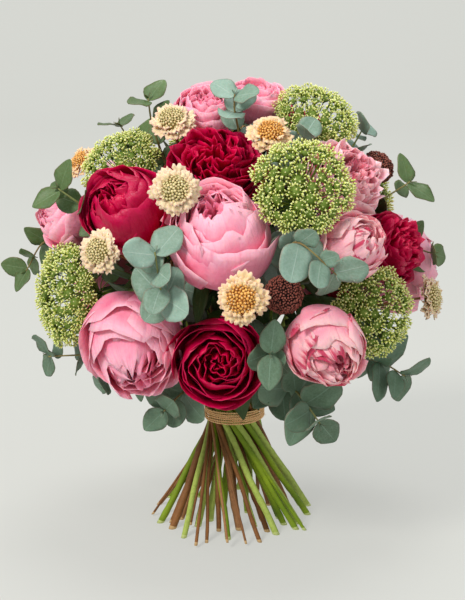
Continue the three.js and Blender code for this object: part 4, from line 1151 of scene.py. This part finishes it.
def makeStems(carried, bag):
    style, thin, middle = stemStyle, thinStems, tieRing["middle"]
    rng = np.random.default_rng(600)
    rooted = [c for c in carried if c["name"] not in branchOf]
    places = neckPlaces(rooted)
    thickOf = {c["name"]: stemWidth[c["kind"]] * (1 + widthSpread * (draw(i, 8) - 0.5))
               for i, c in enumerate(carried)}
    routes = {}
    for i, item in enumerate(rooted):
        name = item["name"]
        place = places[name]
        start = spiralPoint(place, middle)
        away = unit(spiralPoint(place, middle + 1) - start)
        routes[name] = (start, away, item)
        level = place[0] == neckRings[0][0] or i % shortStems["every"]
        lift = 0 if level else shortStems["lift"] * (1 + 2 * draw(i, 3))
        low = spiralRoute(place, cutHeight + lift, middle, style["lowSteps"])
        high = bentRoute(start, away, item, np.linspace(0, 1, style["highSteps"])[1:])
        widths = np.concatenate([np.linspace(1.0, 0.92, len(low)),
                                 np.linspace(0.9, upperStem["share"], len(high))])
        sway = rng.uniform(0, 6, 2)
        bow = np.sin(np.linspace(0, math.pi, len(low)))[:, None] * style["sway"]
        low[:, 0:2] += bow * np.sin(np.linspace(0, 7, len(low))[:, None] + sway)
        woody = item["kind"] in style["woodyKinds"] or rng.uniform() < style["woodyShare"]
        addStem(bag, rng, np.concatenate([low, high]), thickOf[name], widths, woody, True)
    for item in carried:
        if item["name"] in branchOf:
            start, away, owner = routes[branchOf[item["name"]]]
            bend = bentRoute(start, away, owner, [0.5])[0]
            fork = bentRoute(bend, unit(bend - start), item, np.linspace(0, 1, style["forkSteps"]))
            addStem(bag, rng, fork, thickOf[item["name"]], upperStem["share"],
                    item["kind"] in style["woodyKinds"], False)
    for k in range(thin["count"]):
        turn = (k + 0.5 + 0.4 * rng.uniform(-1, 1)) * 2 * math.pi / thin["count"]
        radius = rng.uniform(*thin["radii"])
        place = (radius, turn, 1 + spiral["spread"] * rng.uniform(-1, 1) * thin["spread"])
        route = spiralRoute(place, cutHeight + rng.uniform(0, 7), thin["high"], thin["steps"])
        thick = thin["width"] * rng.uniform(0.8, 1.3)
        woody = rng.uniform() < thin["woodyShare"]
        addStem(bag, rng, route, thick, np.linspace(1, 0.8, thin["steps"]), woody, True)


stemBags = {"green": newBag(), "woody": newBag()}
makeStems(allHeads + allSprays, stemBags)
greenStem = twigMaterial("green stem", [lin(134, 158, 24), lin(92, 122, 14), lin(178, 196, 98),
                                        lin(108, 112, 34)], lin(196, 208, 130))
woodyStem = twigMaterial("woody stem", [lin(136, 88, 42), lin(104, 64, 28), lin(170, 122, 80),
                                        lin(72, 42, 20)], lin(206, 170, 120))
makeObject("green_stems", stemBags["green"], [greenStem], "stems")
makeObject("woody_stems", stemBags["woody"], [woodyStem], "stems")
print("stems done")

# Dark leaves of the flower stems fill the dome, most in its shell and some in its core.
foliageStyle = {"count": 490, "length": 56, "shell": (0.42, 0.86), "core": (0.05, 0.42), "coreEvery": 5,
                "reach": np.array([185.0, 150.0, 165.0]), "setIn": 24}
foliageLeaf = {"grid": (7, 5), "thickness": 0.5, "wave": 0.12}
# Leaves that hang over the twine: base and tip.
hangingLeaves = [
    [(2, -36, 168), (9, -47, 124)], [(16, -34, 160), (24, -40, 132)], [(-20, 34, 160), (-24, 44, 128)],
]


def makeFoliage(material):
    style = foliageStyle
    bag = newBag()
    rng = np.random.default_rng(700)
    clear = list(rooms)
    k = np.arange(style["count"]) + 0.5
    height = 1 - 1.62 * k / style["count"]
    for n, way in enumerate(polar(np.sqrt(1 - height * height), k * goldenTurn, height)):
        share = rng.uniform(*style["shell" if n % style["coreEvery"] else "core"])
        base = domeCentre + way * style["reach"] * share - way * style["setIn"]
        around = squareTo(rng.normal(size=3), way)
        heading = unit(way * rng.uniform(0.5, 1.3) + around)
        length = style["length"] * rng.uniform(0.7, 1.1)
        blade = freeBlade(base, heading, way + 0.3 * around, length, stemLeafStyle, clear)
        if blade:
            clear.append(bladeRoom(blade))
            addBlade(bag, blade, lanceLeaf, foliageLeaf, rng)
    for base, tip in np.array(hangingLeaves, float):
        facing = unit(tip - base)
        rise = squareTo(vector(0, -1 if base[1] < 0 else 1, 0.2), facing)
        length = np.linalg.norm(tip - base)
        blade = makeBlade(base, rise, facing, length, length * 0.28, stemLeafStyle)
        addBlade(bag, blade, lanceLeaf, {**foliageLeaf, "grid": (14, 9)}, rng)
    makeObject("dark_foliage", bag, [material], "stems")


# Leaves of the sprays' own feet, low under the dome and looking down and out.
collarStyle = {"count": 84, "radius": (44, 104), "height": (164, 204), "length": (32, 42),
               "leaf": {**leafStyle, "widthShare": 0.68}}
collarLeaf = {"grid": (10, 7), "thickness": 0.5, "wave": 0.15}


def makeCollar(material):
    style = collarStyle
    bag = newBag()
    rng = np.random.default_rng(720)
    clear = list(rooms)
    for k in range(style["count"]):
        share = rng.uniform()
        radius, height = (low + (high - low) * share for low, high in (style["radius"], style["height"]))
        way = polar(1, k * goldenTurn)
        around = np.array([-way[1], way[0], 0])
        heading = unit(way + around * rng.uniform(-0.9, 0.9) + [0, 0, rng.uniform(-0.6, 0.1)])
        blade = freeBlade(way * radius + [0, 0, height], heading, way * 0.8 + [0, 0, -0.5] + around * 0.3,
                          rng.uniform(*style["length"]), style["leaf"], clear)
        if blade:
            clear.append(bladeRoom(blade))
            addBlade(bag, blade, pointedLeaf, collarLeaf, rng)
    makeObject("collar_leaves", bag, [material], "eucalyptus_04", "eucalyptus_10")


sepalStyle = {"count": 5, "length": (0.24, 0.34), "halfShare": 0.3, "leaf": {"cup": -0.3, "droop": 0.22}}
sepalLeaf = {"grid": (6, 5), "thickness": 0.5, "wave": 0.06}


def makeSepals(material):
    style = sepalStyle
    bag = newBag()
    rng = np.random.default_rng(710)
    for head in headsOf(*bloomLayers):
        down = -head["axes"][2]
        for k in range(style["count"]):
            way = polar(1, (k + 0.3 * rng.uniform(-1, 1)) * 2 * math.pi / style["count"])
            facing = unit((way + [0, 0, -0.12]) @ head["axes"])
            rise = squareTo(unit(down + 0.1 * facing), facing)
            length = head["width"] * rng.uniform(*style["length"])
            blade = makeBlade(head["foot"] + facing * 1.5 + down * 0.6, rise, facing, length,
                              length * style["halfShare"], style["leaf"])
            addBlade(bag, blade, lanceLeaf, sepalLeaf, rng)
    makeObject("sepals", bag, [material], "stems")


makeFoliage(leafMaterial("dark leaf", [lin(50, 76, 26), lin(34, 56, 20), lin(62, 84, 34)], lin(70, 52, 30),
                         lin(84, 112, 60), 0.42))
makeCollar(eucalyptusMaterials["deep"])
makeSepals(leafMaterial("sepal", [lin(112, 140, 56), lin(88, 116, 44), lin(122, 130, 62)], lin(150, 80, 70),
                        lin(150, 170, 96), 0.5))
print("foliage done")

# The twine is two plies twisted together, with loose hairs.
twine = {
    "turns": 6, "pitch": 2.55, "radius": 29.6, "ply": 0.58, "plyOffset": 0.5, "twist": 4.6, "sides": 5,
    "perTwist": 6, "wander": 0.5, "hairEvery": 9, "hairRadius": 0.09, "steps": 64, "knotSteps": 8,
}
# Points out from the twine's back: the knot and its two short ends.
knotRoutes = [
    [(-12, -1.6, 1), (-5, 0.4, 1.5), (0, 2.4, 1.8), (4, 1.6, -1), (8, 3, -4), (11, 3.4, -9), (13, 3.6, -13)],
    [(12, -1.6, -1), (5, 0.6, -1.6), (0, 2.6, -1.8), (-4, 2.2, -3), (-7, 2.6, -7), (-9, 3.4, -12),
     (-10, 4, -17)],
]


def addTwine(bag, route, rng):
    lengths = np.concatenate([[0], np.cumsum(np.linalg.norm(np.diff(route, axis=0), axis=1))])
    steps = int(lengths[-1] / twine["twist"] * twine["perTwist"])
    at = np.linspace(0, lengths[-1], steps)
    middle = np.stack([np.interp(at, lengths, route[:, k]) for k in range(3)], -1)
    way = units(np.gradient(middle, axis=0))
    guide = np.where(np.abs(way[:, 2:]) < 0.8, [[0.0, 0, 1]], [[0.0, 1, 0]])
    u = units(np.cross(guide, way))
    v = np.cross(way, u)
    for ply in (0, math.pi):
        a = at / twine["twist"] * 2 * math.pi + ply
        path = middle + twine["plyOffset"] * (np.cos(a)[:, None] * u + np.sin(a)[:, None] * v)
        marks = marksOf((steps,), at / 20, ply, 0, rng.uniform())
        thick = twine["ply"] * (1 + 0.1 * np.sin(at * 0.9 + ply) + 0.08 * rng.uniform(-1, 1, steps))
        addTube(bag, path, thick, twine["sides"], marks)
    hairs = int(lengths[-1] / twine["hairEvery"])
    pick = rng.integers(1, steps - 1, hairs)
    outward = u[pick] * rng.uniform(-1, 1, (hairs, 1)) + v[pick] * rng.uniform(-1, 1, (hairs, 1))
    start = middle[pick] + units(outward) * 1.1
    leaning = units(outward + way[pick] * rng.uniform(-1.5, 1.5, (hairs, 1)))
    ends = start + leaning * rng.uniform(1, 2.4, (hairs, 1))
    addBars(bag, start, ends, twine["hairRadius"], marksOf((hairs,), 0, 0, 0, 1))


def makeTwine(material):
    bag = newBag()
    rng = np.random.default_rng(800)
    turns, middle = twine["turns"], tieRing["middle"]
    turn = np.linspace(0, turns, turns * twine["steps"]) * 2 * math.pi + math.pi / 2
    rise = (np.linspace(0, turns, len(turn)) - turns / 2) * twine["pitch"] * 0.86
    wander = twine["wander"] * (np.sin(2 * turn + 0.7 * rise) + 0.6 * np.sin(3 * turn + 1.9))
    radius = twine["radius"] + 0.15 * np.sin(5 * turn)
    addTwine(bag, polar(radius, turn, middle + rise + 0.6 * wander), rng)
    back = vector(0, tieRing["outerRadius"], middle)
    for points in knotRoutes:
        addTwine(bag, smoothRoute(np.array(points) + back, twine["knotSteps"]), rng)
    makeObject("twine", bag, [material], "tie")


def twineMaterial():
    sh = Shader("jute twine", 0.85, 0.15, 0.15)
    fibre = sh.noise(900, 5, 0.75)
    sh.mix(sh.spread(fibre, 0.3, 0.7), lin(228, 170, 108), lin(255, 222, 168))
    sh.over(sh.noise(70, 2), 0.3, 0.7, 0.35, lin(236, 182, 120))
    return sh.finish(fibre, 0.4, 0.0005)


makeTwine(twineMaterial())
print("twine done")

# Floor, light and camera.
studio = {
    "target": (-2, 0, 235), "elevation": 14, "distance": 1700, "lens": 102,
    "floor": lin(132, 133, 129), "glow": lin(217, 218, 213), "glowStrength": 0.62,
    "world": lin(222, 224, 226), "worldStrength": 0.62,
}
floorSize = {"front": -5.0, "depth": 2.8, "halfWidth": 6.0, "bend": 0.9, "tall": 4.0, "steps": 16}


def toScene(point):
    return Vector(np.array(point, float) * mm + layoutShift)


def link(name, data):
    item = bpy.data.objects.new(name, data)
    bpy.context.collection.objects.link(item)
    return item


def makeStage():
    size = floorSize
    profile = [(size["front"], 0.0), (size["depth"], 0.0)]
    profile += [(size["depth"] + size["bend"] * math.sin(a), size["bend"] * (1 - math.cos(a)))
                for a in np.linspace(0, math.pi / 2, size["steps"])[1:]]
    profile.append((size["depth"] + size["bend"], size["tall"]))
    points = [(x, y, z) for y, z in profile for x in (-size["halfWidth"], size["halfWidth"])]
    faces = [(2 * i, 2 * i + 1, 2 * i + 3, 2 * i + 2) for i in range(len(profile) - 1)]
    floor = link("studio floor", bpy.data.meshes.new("studio floor"))
    floor.data.from_pydata(points, [], faces)
    floor.data.polygons.foreach_set("use_smooth", [True] * len(faces))
    sh = Shader("studio paper", 0.95, 0.05)
    for key, value in {"Base Color": (*studio["floor"], 1), "Emission Color": (*studio["glow"], 1),
                       "Emission Strength": studio["glowStrength"]}.items():
        sh.inputs[key].default_value = value
    floor.data.materials.append(sh.material)


def makeLight(name, place, size, power, tone):
    light = bpy.data.lights.new(name, "AREA")
    light.shape = "DISK"
    light.size = size
    light.energy = power
    light.color = tone
    lamp = link(name, light)
    lamp.location = place
    lamp.rotation_mode = "QUATERNION"
    lamp.rotation_quaternion = (toScene(domeCentre) - Vector(place)).to_track_quat("-Z", "Y")


def makeCamera():
    camera = link("camera", bpy.data.cameras.new("camera"))
    camera.data.lens = studio["lens"]
    tilt = math.radians(studio["elevation"])
    back = Vector((0, -math.cos(tilt), math.sin(tilt)))
    camera.location = toScene(studio["target"]) + back * studio["distance"] * mm
    camera.rotation_mode = "QUATERNION"
    camera.rotation_quaternion = (-back).to_track_quat("-Z", "Y")
    bpy.context.scene.camera = camera


makeStage()
makeLight("key", (-2.6, -3.0, 3.5), 1.5, 190, (1.0, 0.97, 0.93))
makeLight("fill", (3.2, -3.0, 2.0), 3.0, 30, (0.95, 0.97, 1.0))
makeLight("top", (0.3, 0.8, 4.0), 2.0, 70, (1.0, 1.0, 1.0))
makeCamera()
world = bpy.data.worlds.new("studio air")
world.use_nodes = True
background = world.node_tree.nodes["Background"]
background.inputs["Color"].default_value = (*studio["world"], 1)
background.inputs["Strength"].default_value = studio["worldStrength"]
bpy.context.scene.world = world
bpy.context.scene.view_settings.view_transform = "Standard"
print("stage done")
